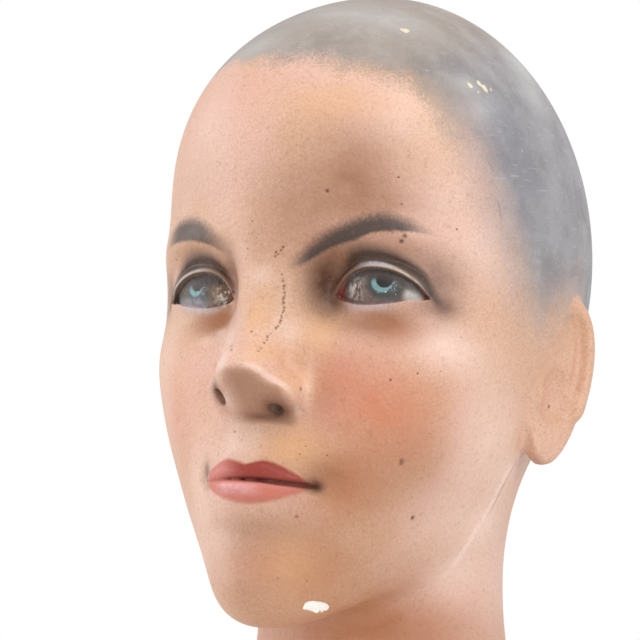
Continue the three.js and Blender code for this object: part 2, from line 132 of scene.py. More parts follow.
# %% Soft swellings, eyes and lids
FRONT_FADE = (45, 20)
MUZZLE = dict(proud=6, wide=17.5, tall=17, level=-66, sharp=(2.4, 2.6))
CHIN = dict(proud=3, wide=16, tall=11, level=-101, sharp=(2.2, 2))
CHIN_FOLD = dict(proud=-1, wide=15, tall=4, level=-83.5, sharp=(2, 2))
BROW = dict(proud=2.6, at=(46, 16, 13), spread=(16, 24, 9))
CHEEKBONE = dict(proud=1.2, at=(50, 24, -26), spread=(15, 26, 13))
MOUTH_CORNER = dict(proud=-2.2, at=(19.6, 5, -68.6), spread=(3.2, 9, 2.6))
EYE_AT = (31.7, 24.3, 0.5)
EYE_TURN = math.radians(18)
EYEBALL = np.array([19, 13.2, 13])
LID_THICKNESS = 2
LEFT_EYE_HIGHER = 0.5
LEFT_EYE_WITHIN = 15
SOCKET_Z = -2
SOCKET_BELOW = 14
SOCKET_ABOVE = 13
SOCKET_SHARP = 2.3
SOCKET_TILT = (0.06, 36)
SOCKET_FADE = (60, 30)
SOCKET_DEPTH = [(0, 0), (6, 0), (12, 4.5), (19, 13), (26, 13), (36, 10.3), (46, 6.5),
                (54, 2.5), (61, 0.3), (70, 0)]
# The lids' edges and the crease: how far out and how high.
UPPER_LID = [(14, -14), (19.2, -4.2), (22, 0.4), (25, 3.4), (28.5, 5), (32.5, 5.5),
             (37, 5.1), (41, 3.9), (45, 1.6), (47.6, -0.8), (49.4, -3.6), (54, -12)]
LOWER_LID = [(14, 4), (19.2, -4.2), (22.5, -6), (28, -7.1), (35, -6.8), (41.5, -5.6),
             (45.5, -4.6), (49.4, -3.6), (54, 3)]
LID_CREASE = [(17, -3), (20.5, 2.2), (25, 6.4), (29.5, 8.1), (34.2, 8.7), (39, 8.2),
              (44, 6.3), (48.4, 3.2), (51.2, -0.5), (54, -5)]
CREASE_DEPTH = 0.8
CREASE_WIDTH = 1.1
CREASE_INNER = (18, 26)
CREASE_OUTER = (54, 46)
LID_BLEND = 3.5
LID_BLEND_BELOW = 7
LID_BLEND_CHANGES = (4, -6)
LID_EDGE = 0.9
BALL_EDGE = 0.5
print("one eye's opening is about", UPPER_LID[-2][0] - UPPER_LID[1][0], "mm wide")

# %% Nose and lips
BRIDGE = ((0, 4, 0), (0, -7.5, -28), (6.8, 8.2))
NOSE_TIP = ((0, -10.8, -33.5), (10.5, 10.6, 8.8))
NOSE_WING = ((8.8, -3, -39), (8, 12, 8))
NOSE_STRIP = ((0, -5.5, -41.5), (7, 11, 6.5))
NOSE_UNDER = dict(z=-47.6, forward=5, rise=0.78, aside=0.12, blend=3.6)
LEFT_NOSTRIL = ((9, -6.8, -45), (2.6, 3.2, 2.4))
RIGHT_NOSTRIL = ((-9.9, -11, -41.6), (1.5, 4.6, 3))
NOSTRIL_BLEND = 1.8
TIP_BLEND = 9
WING_BLEND = 5
STRIP_BLEND = 6
NOSE_BLEND = 5
NOSE_BLEND_ABOVE = 9
NOSE_BLEND_CHANGES = (-36, -14)
# The lips' edges: how far out and how high.
LIP_TOP = [(0, -62.7), (3.3, -61.8), (7, -61.2), (12, -62.7), (16.5, -65.2), (20.3, -68.2)]
LIP_PARTING = [(0, -67.9), (6, -67.9), (13, -68.3), (20.3, -68.5)]
LIP_BOTTOM = [(0, -75.7), (6, -75), (12, -73.2), (16.5, -71), (20.3, -68.7)]
LIP_REACH = 20.8
LIP_TAPER = 0.6
LIP_THINNEST = 0.4
# Each lip: how full it is, and how it rounds off above and below.
UPPER_LIP = (6.84, 0.75, 0.45)
LOWER_LIP = (7.98, 0.5, 0.8)
PHILTRUM = dict(deep=1, wide=3, top=(-48.5, -54), foot=(-63.5, -59.5))
print("the mouth is", 2 * LIP_TOP[-1][0], "mm wide")

# %% Ears
EAR_AT = (70, 92, -20)
EAR_LEAN = math.radians(4)
EAR_FLARE = math.radians(28)
EAR_TALL = 31
EAR_WIDE = 16.5
EAR_HALF_THICKNESS = 3
EAR_BOWL = ((2.5, -6, 5), (8.5, 11.5, 6.5))
EAR_FLAP = ((11.5, -7, 2), (3.6, 5.5, 3.4))
EAR_JOIN = 5
EAR_TAPER = (0.86, 0.0045)
EAR_SLANT = 0.1
EAR_EDGE_BLEND = 3.5
# A roll and a groove follow the ear's edge: how far in, how far out, how thick, where they end.
EAR_RIM = dict(within=2.6, proud=2.6, radius=2.9, lobe=(-10, -22), front=(4, 11), foot=(16, 6))
EAR_GROOVE = dict(within=7.2, proud=4, radius=2.2, lobe=(-2, -12), front=(2, 8), foot=(20, 10))
EAR_ROLL_ENDS = 8
EAR_RIM_BLEND = 2.5
EAR_GROOVE_BLEND = 2
EAR_FLAP_BLEND = 3
print("the ear is", 2 * EAR_TALL, "mm tall")

# %% [markdown]
# ## One field of distances
# A field gives every point of space a number: negative inside the cast, positive outside. Two
# masses join by taking the smaller number, and where the two are nearly equal a cubic term rounds
# the seam, as a thumb does in clay. Such a field can be meshed as finely as one likes, and it has
# no seams between nose, lids and cheek, which separate pieces pushed together would show.

# %% Tools of the field


def ease(a, b, t):
    """Rises smoothly from 0 to 1 as t goes from a to b."""
    s = np.clip((t - a) / (b - a), 0, 1)
    return s * s * (3 - 2 * s)


def through(points, where):
    """A natural cubic spline through (t, value) points, held level past its ends."""
    t, v = np.array(points, float).T
    count = len(t)
    gaps = np.diff(t)
    system = np.eye(count)
    right = np.zeros(count)
    for i in range(1, count - 1):
        system[i, i - 1:i + 2] = gaps[i - 1], 2 * (gaps[i - 1] + gaps[i]), gaps[i]
        right[i] = 6 * ((v[i + 1] - v[i]) / gaps[i] - (v[i] - v[i - 1]) / gaps[i - 1])
    bend = np.linalg.solve(system, right)
    at = np.clip(where, t[0], t[-1])
    i = np.clip(np.searchsorted(t, at, side="right") - 1, 0, count - 2)
    up = at - t[i]
    down = t[i + 1] - at
    curved = (bend[i] * down ** 3 + bend[i + 1] * up ** 3) / (6 * gaps[i])
    left = (v[i] / gaps[i] - bend[i] * gaps[i] / 6) * down
    return curved + left + (v[i + 1] / gaps[i] - bend[i + 1] * gaps[i] / 6) * up


def join(a, b, blend):
    """Two masses as one, rounded where they meet."""
    h = np.maximum(blend - np.abs(a - b), 0) / blend
    return np.minimum(a, b) - h ** 3 * blend / 6


def keep(a, b, blend):
    """Only what lies in both masses."""
    return -join(-a, -b, blend)


def carve(a, b, blend):
    """The first mass without the second."""
    return keep(a, -b, blend)


def ellipsoid(x, y, z, shape):
    (cx, cy, cz), (rx, ry, rz) = shape
    px, py, pz = (x - cx) / rx, (y - cy) / ry, (z - cz) / rz
    reach = np.sqrt(px ** 2 + py ** 2 + pz ** 2) + 1e-6
    slope = np.sqrt((px / rx) ** 2 + (py / ry) ** 2 + (pz / rz) ** 2) + 1e-6
    return reach * (reach - 1) / slope


def round_cone(x, y, z, shape):
    start, end, (r0, r1) = shape
    way = np.subtract(end, start)
    off = (x - start[0], y - start[1], z - start[2])
    t = np.clip((off[0] * way[0] + off[1] * way[1] + off[2] * way[2]) / (way @ way), 0, 1)
    gap = [o - t * w for o, w in zip(off, way)]
    return np.sqrt(gap[0] ** 2 + gap[1] ** 2 + gap[2] ** 2) - (r0 + (r1 - r0) * t)


def swelling(x, y, z, proud, at, spread):
    reach = ((x - at[0]) / spread[0]) ** 2 + ((y - at[1]) / spread[1]) ** 2
    return proud * np.exp(-reach - ((z - at[2]) / spread[2]) ** 2)


def mound(x, z, proud, wide, tall, level, sharp):
    sideways = np.abs(x / wide) ** sharp[0]
    return proud * np.exp(-sideways - np.abs((z - level) / tall) ** sharp[1])


print("parting of the lips at the middle:", round(float(through(LIP_PARTING, 0.0)), 1), "mm")

# %% The masses of the head


def skull_and_jaw(x, y, z):
    half, front, widest, square = (
        through(list(zip(LEVELS, row)), z)
        for row in (FACE_HALF, FACE_FRONT, FACE_WIDEST, FACE_SQUARE)
    )
    depth = np.where(y < widest, widest + front, FACE_BACK_DEPTH)
    ratio = np.abs(x / half) ** square + np.abs((y - widest) / depth) ** square
    face = np.hypot(x, y - widest) * (1 - 1 / (ratio ** (1 / square) + 1e-6))
    under = (y - CHIN_EDGE_Y) * math.sin(JAW_SLOPE) - (z - CHIN_BOTTOM) * math.cos(JAW_SLOPE)
    jaw = keep(keep(face, z - FACE_TOP, FACE_TOP_BLEND), under, JAW_BLEND)
    skull = join(ellipsoid(x, y, z, CRANIUM), ellipsoid(x, y, z, FOREHEAD), SKULL_BLEND)
    return join(jaw, skull, SKULL_BLEND)


def with_eye(field, out, y, z, front):
    """Presses in the socket and sets eyeball and lids into it."""
    level = z - SOCKET_Z + SOCKET_TILT[0] * (SOCKET_TILT[1] - out)
    tall = np.where(level > 0, SOCKET_ABOVE, SOCKET_BELOW)
    hollow = through(SOCKET_DEPTH, out) * np.exp(-np.abs(level / tall) ** SOCKET_SHARP)
    hollow = hollow * ease(*SOCKET_FADE, y)
    dx, dy, dz = out - EYE_AT[0], y - EYE_AT[1], z - EYE_AT[2]
    along = dx * math.cos(EYE_TURN) + dy * math.sin(EYE_TURN)
    outward = dx * math.sin(EYE_TURN) - dy * math.cos(EYE_TURN)
    ball = ellipsoid(along, outward, dz, ((0, 0, 0), EYEBALL))
    lids = ellipsoid(along, outward, dz, ((0, 0, 0), EYEBALL + LID_THICKNESS))
    groove = np.exp(-((z - through(LID_CREASE, out)) / CREASE_WIDTH) ** 2)
    groove = groove * ease(*CREASE_INNER, out) * ease(*CREASE_OUTER, out) * front
    soft = LID_BLEND + LID_BLEND_BELOW * ease(*LID_BLEND_CHANGES, z)
    lidded = join(field + hollow, lids, soft) + CREASE_DEPTH * groove
    opening = np.maximum(z - through(UPPER_LID, out), through(LOWER_LID, out) - z)
    return join(carve(lidded, np.maximum(opening, -outward), LID_EDGE), ball, BALL_EDGE)


def nose_under(out, y, z):
    """How far a point lies below the planes of the nose's underside."""
    rise, aside = NOSE_UNDER["rise"], NOSE_UNDER["aside"]
    under = NOSE_UNDER["z"] - z + rise * (-y - NOSE_UNDER["forward"]) + aside * out
    return under / math.sqrt(1 + rise ** 2 + aside ** 2)


def with_nose(field, x, out, y, z):
    nose = round_cone(x, y, z, BRIDGE)
    nose = join(nose, ellipsoid(x, y, z, NOSE_TIP), TIP_BLEND)
    nose = join(nose, ellipsoid(out, y, z, NOSE_WING), WING_BLEND)
    nose = join(nose, ellipsoid(x, y, z, NOSE_STRIP), STRIP_BLEND)
    nose = keep(nose, nose_under(out, y, z), NOSE_UNDER["blend"])
    soft = NOSE_BLEND + NOSE_BLEND_ABOVE * ease(*NOSE_BLEND_CHANGES, z)
    left = ellipsoid(x, y, z, LEFT_NOSTRIL)
    right = ellipsoid(x, y, z, RIGHT_NOSTRIL)
    return carve(join(field, nose, soft), np.minimum(left, right), NOSTRIL_BLEND)


def lip(z, top, bottom, shape):
    proud, above, below = shape
    t = np.clip((top - z) / np.maximum(top - bottom, LIP_THINNEST), 0, 1)
    return proud * t ** above * (1 - t) ** below


def lips_and_philtrum(x, out, z):
    parting = through(LIP_PARTING, out)
    taper = np.clip(1 - (out / LIP_REACH) ** 2, 0, 1) ** LIP_TAPER
    both = lip(z, through(LIP_TOP, out), parting, UPPER_LIP)
    both = both + lip(z, parting, through(LIP_BOTTOM, out), LOWER_LIP)
    groove = np.exp(-(x / PHILTRUM["wide"]) ** 2)
    groove = groove * ease(*PHILTRUM["top"], z) * ease(*PHILTRUM["foot"], z)
    return taper * both - PHILTRUM["deep"] * groove


def ear_roll(edge, p, q, n, within, proud, radius, lobe, front, foot):
    """A roll that follows the ear's edge and thins out at the lobe and in front."""
    gone = np.maximum(ease(*lobe, p), ease(*front, q) * ease(*foot, p))
    return np.hypot(edge + within, n - proud) - radius + EAR_ROLL_ENDS * gone


def ear(out, y, z):
    """One ear, in its own directions: p up, q forward and n away from the head."""
    dx, dy, dz = out - EAR_AT[0], y - EAR_AT[1], z - EAR_AT[2]
    p = dz * math.cos(EAR_LEAN) + dy * math.sin(EAR_LEAN)
    forward = dz * math.sin(EAR_LEAN) - dy * math.cos(EAR_LEAN)
    q = forward * math.cos(EAR_FLARE) - dx * math.sin(EAR_FLARE)
    n = dx * math.cos(EAR_FLARE) + forward * math.sin(EAR_FLARE)
    wide = EAR_WIDE * (EAR_TAPER[0] + EAR_TAPER[1] * p)
    edge = ellipsoid(q + EAR_SLANT * p, p, 0 * p, ((0, 0, 0), (wide, EAR_TALL, 1)))
    shape = keep(edge, np.abs(n) - EAR_HALF_THICKNESS, EAR_EDGE_BLEND)
    shape = join(shape, ear_roll(edge, p, q, n, **EAR_RIM), EAR_RIM_BLEND)
    shape = carve(shape, ellipsoid(q, p, n, EAR_BOWL), EAR_RIM_BLEND)
    shape = carve(shape, ear_roll(edge, p, q, n, **EAR_GROOVE), EAR_GROOVE_BLEND)
    return join(shape, ellipsoid(q, p, n, EAR_FLAP), EAR_FLAP_BLEND)


def bust(x, y, z):
    """The whole cast in the head's frame, with the neck running on below the foot."""
    out = np.abs(x)
    front = ease(*FRONT_FADE, y)
    middle = mound(x, z, **MUZZLE) + mound(x, z, **CHIN) + mound(x, z, **CHIN_FOLD)
    soft = front * middle + swelling(out, y, z, **BROW) + swelling(out, y, z, **CHEEKBONE)
    field = with_eye(skull_and_jaw(x, y, z) - soft, out, y, eye_level(x, z), front)
    field = with_nose(field, x, out, y, z)
    field = field - front * lips_and_philtrum(x, out, z)
    field = join(field - swelling(out, y, z, **MOUTH_CORNER), ear(out, y, z), EAR_JOIN)
    px, py, pz = to_part(np.stack([x, y, z], axis=1)).T
    neck = np.hypot(px, py - through(NECK_MIDDLE, pz)) - through(NECK_RADII, pz)
    neck = keep(neck, pz - NECK_TOP, NECK_TOP_BLEND)
    return np.maximum(join(field, neck, NECK_JOIN), NECK_STUB - pz)


def eye_level(x, z):
    """Heights at the eyes: the left eye sits a little higher than the right one."""
    return z - LEFT_EYE_HIGHER * np.tanh(x / LEFT_EYE_WITHIN)


middle = np.array([[0.0], [-40.0], [-33.0]])
print("40 mm before the nose the field says", bust(*middle).round(1), "mm")

# %% [markdown]
# ## A net over the field
# Space is cut into small boxes. Every box that the surface passes through gets one point, and the
# points of neighbouring boxes are tied into four-sided meshes, like a net drawn over the form. A
# box grid makes even, tidy facets, unlike a voxel remesh of a rough model, and each point is then
# pulled along the field's slope until it really lies on the surface.

# %% Grid and net
# Each stretch of the grid: from, to and the size of a box.
GRID_X = [(-96, -84, 6), (-84, -24, 3), (-24, 24, 2.6), (24, 84, 3), (84, 96, 6)]
GRID_Y = [(-30, 45, 2.5), (45, 78, 5), (78, 120, 3), (120, 218, 7)]
GRID_Z = [(-270, -130, 8), (-130, -80, 3.2), (-80, 14, 2.4), (14, 36, 3.2), (36, 144, 5)]
CORNERS = [(a, b, c) for a in (0, 1) for b in (0, 1) for c in (0, 1)]
SLOPE_STEP = 0.02
SLOPE_LEAST = 0.05
NET_REACH = 0.5
NUDGE = 0.01
CALM_ROUNDS = 12
RING = ((0, 0), (1, 0), (1, 1), (0, 1))


def grid_lines(stretches):
    lines = [np.array([stretches[0][0]], float)]
    for start, end, step in stretches:
        lines.append(np.linspace(start, end, round((end - start) / step) + 1)[1:])
    return np.concatenate(lines)


def slope_of(points):
    columns = []
    for axis in range(3):
        step = np.zeros(3)
        step[axis] = SLOPE_STEP
        columns.append(bust(*(points + step).T) - bust(*(points - step).T))
    return np.stack(columns, axis=1) / (2 * SLOPE_STEP)


def normals_at(points):
    slope = slope_of(points)
    return slope / np.linalg.norm(slope, axis=1, keepdims=True)


def settle(points, reach, rounds=2):
    """Moves points along the field's slope onto the surface, no farther than their reach."""
    start = points.copy()
    for _ in range(rounds):
        slope = slope_of(points)
        steep = np.maximum((slope ** 2).sum(axis=1), SLOPE_LEAST)
        for _ in range(2):
            points = points - slope * (bust(*points.T) / steep)[:, None]
            gone = points - start
            far = np.linalg.norm(gone, axis=1)
            points = start + gone * np.minimum(1, reach / np.maximum(far, 1e-9))[:, None]
    return points


def calm(value):
    """Clears the grid faces whose corners are in and out by turns, where the net would pinch."""
    for _ in range(CALM_ROUNDS):
        left = 0
        for u, v in ((0, 1), (1, 2), (2, 0)):
            rings = []
            for du, dv in RING:
                cut = [slice(None)] * 3
                cut[u] = slice(du, value.shape[u] - 1 + du)
                cut[v] = slice(dv, value.shape[v] - 1 + dv)
                rings.append(value[tuple(cut)] < 0)
            p, q, r, s = rings
            for at in np.argwhere((p == r) & (q == s) & (p != q)):
                spots = []
                for du, dv in RING:
                    spot = at.copy()
                    spot[u] += du
                    spot[v] += dv
                    spots.append(tuple(spot))
                signs = [value[spot] < 0 for spot in spots]
                if signs[0] == signs[1] or signs[0] != signs[2] or signs[1] != signs[3]:
                    continue
                left += 1
                nearest = min(spots, key=lambda spot: abs(value[spot]))
                value[nearest] = NUDGE if value[nearest] < 0 else -NUDGE
        if not left:
            return


def net_over(xs, ys, zs):
    """One point in each box that the surface crosses, tied to its neighbours."""
    lines = (xs, ys, zs)
    corner = np.stack(np.meshgrid(xs, ys, zs, indexing="ij"), axis=-1)
    value = bust(*corner.reshape(-1, 3).T).reshape(corner.shape[:3])
    calm(value)
    inside = value < 0
    size = np.array(value.shape) - 1
    filled = sum(
        inside[a:size[0] + a, b:size[1] + b, c:size[2] + c].astype(int) for a, b, c in CORNERS
    )
    cells = np.argwhere((filled > 0) & (filled < 8))
    number = np.full(tuple(size), -1)
    number[tuple(cells.T)] = np.arange(len(cells))
    total = np.zeros((len(cells), 3))
    cuts = np.zeros(len(cells))
    for near in CORNERS:
        for axis in range(3):
            if near[axis]:
                continue
            far = list(near)
            far[axis] = 1
            a = tuple((cells + near).T)
            b = tuple((cells + far).T)
            cut = inside[a] != inside[b]
            t = value[a] / np.where(cut, value[a] - value[b], 1)
            total += np.where(cut[:, None], corner[a] + t[:, None] * (corner[b] - corner[a]), 0)
            cuts += cut
    widths = np.stack([np.diff(line)[cells[:, i]] for i, line in enumerate(lines)], axis=1)
    points = settle(total / cuts[:, None], NET_REACH * widths.min(axis=1))
    quads = []
    for axis in range(3):
        u, v = (axis + 1) % 3, (axis + 2) % 3
        step = np.eye(3, dtype=int)
        nodes = np.argwhere(np.diff(inside, axis=axis))
        nodes = nodes[(nodes[:, u] > 0) & (nodes[:, v] > 0)]
        nodes = nodes[(nodes[:, u] < size[u]) & (nodes[:, v] < size[v])]
        ring = [number[tuple((nodes - m * step[u] - n * step[v]).T)]
                for m, n in ((1, 1), (0, 1), (0, 0), (1, 0))]
        ring = np.stack(ring, axis=1)
        outside = ~inside[tuple(nodes.T)]
        ring[outside] = ring[outside, ::-1]
        quads.append(ring)
    return points, np.concatenate(quads)


def halved(points, quads):
    """Splits each four-sided face along the diagonal that lies nearer the surface."""
    a, b, c, d = quads.T
    miss = [np.abs(bust(*((points[p] + points[q]) / 2).T)) for p, q in ((a, c), (b, d))]
    first = np.where((miss[0] <= miss[1])[:, None], quads, np.roll(quads, -1, axis=1))
    return np.concatenate([first[:, [0, 1, 2]], first[:, [0, 2, 3]]])


points, quads = net_over(*map(grid_lines, (GRID_X, GRID_Y, GRID_Z)))
triangles = halved(points, quads)
print("the net has", len(points), "points and", len(triangles), "triangles")

# %% [markdown]
# ## Finer where the eye looks
# A face needs facets well under a millimetre at the lids and lips, while the back of the skull
# looks smooth with edges of four. Edges that are longer than wanted are halved, and their new
# middles settle on the surface. A few rounds of this spend the triangles where the painter spent
# the time.

# %% Where the mesh is fine
# Each zone: its middle on the head, how far it reaches each way, and its longest edge.
FINE_ZONES = [
    ((31, 2, 3), (22, 30, 12), 0.7),
    ((-31, 2, 3), (22, 30, 12), 0.7),
    ((0, -8, -68), (23, 24, 9), 0.75),
    ((0, -8, -36), (18, 26, 14), 1.0),
    ((7, -8, -8), (3, 20, 19), 0.6),
    ((18.5, 15, -107), (5, 7, 4), 0.65),
    ((43.4, 32.8, -75.3), (2, 2, 2), 0.5),
    ((20, -3.8, 29), (2, 3, 2), 0.5),
    ((0, 5, -30), (58, 30, 88), 2.1),
    ((0, 20, 40), (62, 46, 60), 3),
    ((74, 96, -20), (18, 24, 34), 2),
    ((-74, 96, -20), (18, 24, 34), 2),
]
COARSEST = 4.2
ZONE_FADE = (1, 1.5)
SPLIT_REACH = 0.35
SPLIT_ROUNDS = 6


def wanted_edge(place):
    wanted = np.full(len(place), COARSEST)
    for middle, spread, length in FINE_ZONES:
        reach = np.abs((place - middle) / spread).max(axis=1)
        wanted = np.minimum(wanted, length + (COARSEST - length) * ease(*ZONE_FADE, reach))
    return wanted


def split_long_edges(points, triangles):
    """Halves each edge that is longer than wanted there, and the triangles beside it."""
    sides = np.concatenate([triangles[:, [0, 1]], triangles[:, [1, 2]], triangles[:, [2, 0]]])
    edges, which = np.unique(np.sort(sides, axis=1), axis=0, return_inverse=True)
    ends = points[edges]
    long = np.linalg.norm(ends[:, 0] - ends[:, 1], axis=1) > wanted_edge(ends.mean(axis=1))
    middles = ends[long].mean(axis=1)
    lengths = np.linalg.norm(ends[long, 0] - ends[long, 1], axis=1)
    fresh = np.full(len(edges), -1)
    fresh[long] = len(points) + np.arange(long.sum())
    points = np.concatenate([points, settle(middles, SPLIT_REACH * lengths, rounds=1)])
    cut = fresh[which.reshape(3, -1).T]
    marked = (cut >= 0).sum(axis=1)
    done = [triangles[marked == 0]]
    turn = np.zeros(len(triangles), int)
    one = marked == 1
    turn[one] = np.argmax(cut[one] >= 0, axis=1)
    two = marked == 2
    turn[two] = (np.argmin(cut[two] >= 0, axis=1) + 1) % 3
    order = (turn[:, None] + np.arange(3)) % 3
    a, b, c = np.take_along_axis(triangles, order, axis=1).T
    p, q, r = np.take_along_axis(cut, order, axis=1).T
    done += [np.stack(t, axis=1)[one] for t in ((a, p, c), (p, b, c))]
    short = np.linalg.norm(points[a] - points[q], axis=1) < np.linalg.norm(
        points[p] - points[c], axis=1)
    done.append(np.stack((p, b, q), axis=1)[two])
    done += [np.stack(t, axis=1)[two & short] for t in ((a, p, q), (a, q, c))]
    done += [np.stack(t, axis=1)[two & ~short] for t in ((a, p, c), (p, q, c))]
    three = marked == 3
    done += [np.stack(t, axis=1)[three] for t in ((a, p, r), (p, b, q), (r, q, c), (p, q, r))]
    return points, np.concatenate(done), int(long.sum())


for split_round in range(SPLIT_ROUNDS):
    points, triangles, added = split_long_edges(points, triangles)
    print("round", split_round, "added", added, "points:", len(triangles), "triangles")
    if not added:
        break

# %% Even the facets out
RELAX_ROUNDS = 3
RELAX_SHARE = 0.5
RELAX_REACH = 0.5
RELAX_SLACK = 0.05


def relaxed(points, triangles):
    """Draws each point towards the middle of its neighbours, but only along the surface."""
    a, b, c = triangles.T
    total = np.zeros_like(points)
    count = np.zeros(len(points))
    for here, there in ((a, b), (b, c), (c, a)):
        for i in range(3):
            total[:, i] += np.bincount(here, points[there, i], len(points))
        count += np.bincount(here, minlength=len(points))
    move = RELAX_SHARE * (total / count[:, None] - points)
    normal = normals_at(points)
    move -= normal * (move * normal).sum(axis=1, keepdims=True)
    reach = np.linalg.norm(move, axis=1) * RELAX_REACH + RELAX_SLACK
    return settle(points + move, reach, rounds=1)


for _ in range(RELAX_ROUNDS):
    points = relaxed(points, triangles)
off = np.abs(bust(*points.T))
print("the points lie within", round(float(off.max()), 2), "mm of the surface")

# %% [markdown]
# ## Wear in the plaster
# Pinholes, a line of them down the nose, and the chip at the chin are real hollows, so they are
# pressed into the mesh along its normals. The same shares are kept to darken or whiten them later.

# %% Pinholes, flakes and the chip
# Each pinhole: its place on the head, its radius and its depth.
PINHOLES = [
    ((43.6, 9.3, 16.2), 0.75, 0.5), ((42.5, 9.3, 14.4), 0.8, 0.5), ((35, 3.7, 19.5), 0.5, 0.3),
    ((20.1, -3.8, 29.1), 0.6, 0.4), ((43.4, 32.8, -75.3), 0.8, 0.5),
    ((16.6, -4.6, -37.4), 0.6, 0.4), ((-4.5, -15.8, -25.1), 0.5, 0.3),
    ((-3.1, -18.1, -26.8), 0.5, 0.3), ((15.8, 1.4, -78.4), 0.35, 0.3),
    ((43.6, 19.9, -57.8), 0.9, 0.4), ((-25.4, 10.7, 1.6), 0.8, 0.4),
    ((-19.6, 9.5, -2.2), 0.7, 0.4), ((6.7, -6.3, 9.8), 0.45, 0.3), ((6.1, -6.5, 8.7), 0.4, 0.3),
    ((4.5, -6.9, 8), 0.45, 0.3), ((5.3, -6.7, 7.3), 0.35, 0.2), ((4.3, -7, 6.6), 0.4, 0.3),
]
# The line of pinholes down the nose, from below: the height, how far left and how far back.
SEAM = [(-27, 6.1, -16.2), (-23.6, 6, -12.9), (-19.7, 6.5, -9.5), (-17, 7.7, -7.3),
        (-14.8, 8.2, -6.4), (-9.6, 8.3, -5.4), (-5.3, 8, -5.5), (-1.3, 7.4, -5.8),
        (1.3, 6.7, -6.3)]
SEAM_STEP = 0.66
SEAM_JITTER = 0.6
SEAM_SCATTER = 0.28
SEAM_REACH = 4.0
SEAM_RADII = (0.14, 0.48)
SEAM_DEPTH = 0.6
# Each flake: its place and its radius.
FLAKES = [((31, 25.4, 93.4), 1.6), ((53.4, 33.4, 74.6), 1.3), ((55.9, 36.8, 73), 0.9),
          ((58, 41.2, 72.3), 0.8), ((67.3, 53.3, 55.4), 1.0), ((56.2, 40.5, 75.5), 1.5),
          ((54.6, 38.4, 77), 1.1), ((57.9, 43.4, 76), 1.0)]
CHIP_AT = np.array([18.5, 15.1, -107.2])
CHIP_REACH = np.array([3.2, 5.6, 1.9])
CHIP_DEPTH = 0.6
CHIP_EDGE = (0.3, 0.5)
FLAKE_DEPTH = 0.15


def seam_pinholes():
    """Small pinholes scattered along the line, each with its radius and depth."""
    chance = np.random.default_rng(7)
    heights = np.arange(SEAM[0][0], SEAM[-1][0], SEAM_STEP)
    heights = heights + chance.uniform(-SEAM_JITTER, SEAM_JITTER, len(heights)) * SEAM_STEP
    aside = through([(z, x) for z, x, _ in SEAM], heights)
    aside = aside + chance.normal(0, SEAM_SCATTER, len(heights))
    back = through([(z, y) for z, _, y in SEAM], heights)
    here = settle(np.stack([aside, back, heights], axis=1), np.full(len(heights), SEAM_REACH))
    radii = chance.uniform(*SEAM_RADII, len(heights))
    return [(spot, radius, SEAM_DEPTH * radius) for spot, radius in zip(here, radii)]


def pressed(points, marks):
    """How much each point belongs to a round mark, from 0 to 1, and how deep it lies."""
    share = np.zeros(len(points))
    depth = np.zeros(len(points))
    for middle, radius, deep in marks:
        reach = np.linalg.norm(points - middle, axis=1) / radius
        here = np.exp(-reach ** 3)
        share = np.maximum(share, here)
        depth = np.maximum(depth, deep * here)
    return share, depth


pinholes = PINHOLES + seam_pinholes()
pit_share, pit_depth = pressed(points, pinholes)
flake_share, flake_depth = pressed(points, [(at, size, FLAKE_DEPTH) for at, size in FLAKES])
chip_share = np.exp(-(np.abs((points - CHIP_AT) / CHIP_REACH) ** 3).sum(axis=1))
depth = pit_depth + flake_depth + CHIP_DEPTH * ease(*CHIP_EDGE, chip_share)
points = points - normals_at(points) * depth[:, None]
print(len(pinholes), "pinholes, deepest hollow", round(float(depth.max()), 2), "mm")

# %% Into Blender, with the shares of the wear
head_mesh = bpy.data.meshes.new("painted_head")
head_mesh.from_pydata((to_part(points) * MM).tolist(), [], triangles.tolist())


def mark(name, values):
    """Keeps one number for each point of the mesh, by name."""
    layer = head_mesh.attributes.new(name, "FLOAT", "POINT")
    layer.data.foreach_set("value", np.asarray(values, np.float32))
    print(f"{name}: {np.min(values):.1f} to {np.max(values):.1f}")


mark("pits", pit_share)
mark("flakes", flake_share)
mark("chip", chip_share)

# %% Sawn level at the foot
# The underside is flat and bare, so its faces are flat and wear the second material.
FACING_DOWN = -0.99
FOOT_Z = 1e-5

cast = bmesh.new()
cast.from_mesh(head_mesh)
bmesh.ops.bisect_plane(
    cast, geom=cast.verts[:] + cast.edges[:] + cast.faces[:],
    plane_co=(0, 0, 0), plane_no=(0, 0, -1), clear_outer=True,
)
cut_edge = [edge for edge in cast.edges if edge.is_boundary]
bmesh.ops.edgeloop_fill(cast, edges=cut_edge)
for face in cast.faces:
    face.smooth = True
    if face.normal.z < FACING_DOWN and face.calc_center_median().z < FOOT_Z:
        face.smooth = False
        face.material_index = 1
bmesh.ops.triangulate(cast, faces=[face for face in cast.faces if len(face.verts) > 4])
bmesh.ops.recalc_face_normals(cast, faces=cast.faces[:])
cast.to_mesh(head_mesh)
cast.free()
painted_head = bpy.data.objects.new("painted_head", head_mesh)
bpy.context.collection.objects.link(painted_head)
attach(painted_head, "root")
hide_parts("head_and_neck")
print("the cast has", len(head_mesh.polygons), "faces")

# %% [markdown]
# ## Marking out the paint
# The painter works by eye from the cast's own forms: the lids, the lips' edges, the hairline. Each
# edge is kept on the mesh as a distance in millimetres from that edge. A distance changes slowly
# from point to point, so the shader can still draw a line thinner than a facet from it, and can
# make the same edge crisp with a brush or soft with an airbrush.

# %% Places of all points
count = len(head_mesh.vertices)
flat = np.empty(count * 3, np.float32)
head_mesh.vertices.foreach_get("co", flat)
place = to_head(flat.reshape(-1, 3).astype(float) / MM)
px, py, pz = place.T
out = np.abs(px)
# What a distance says where its edge must not show.
FAR_AWAY = 20.0


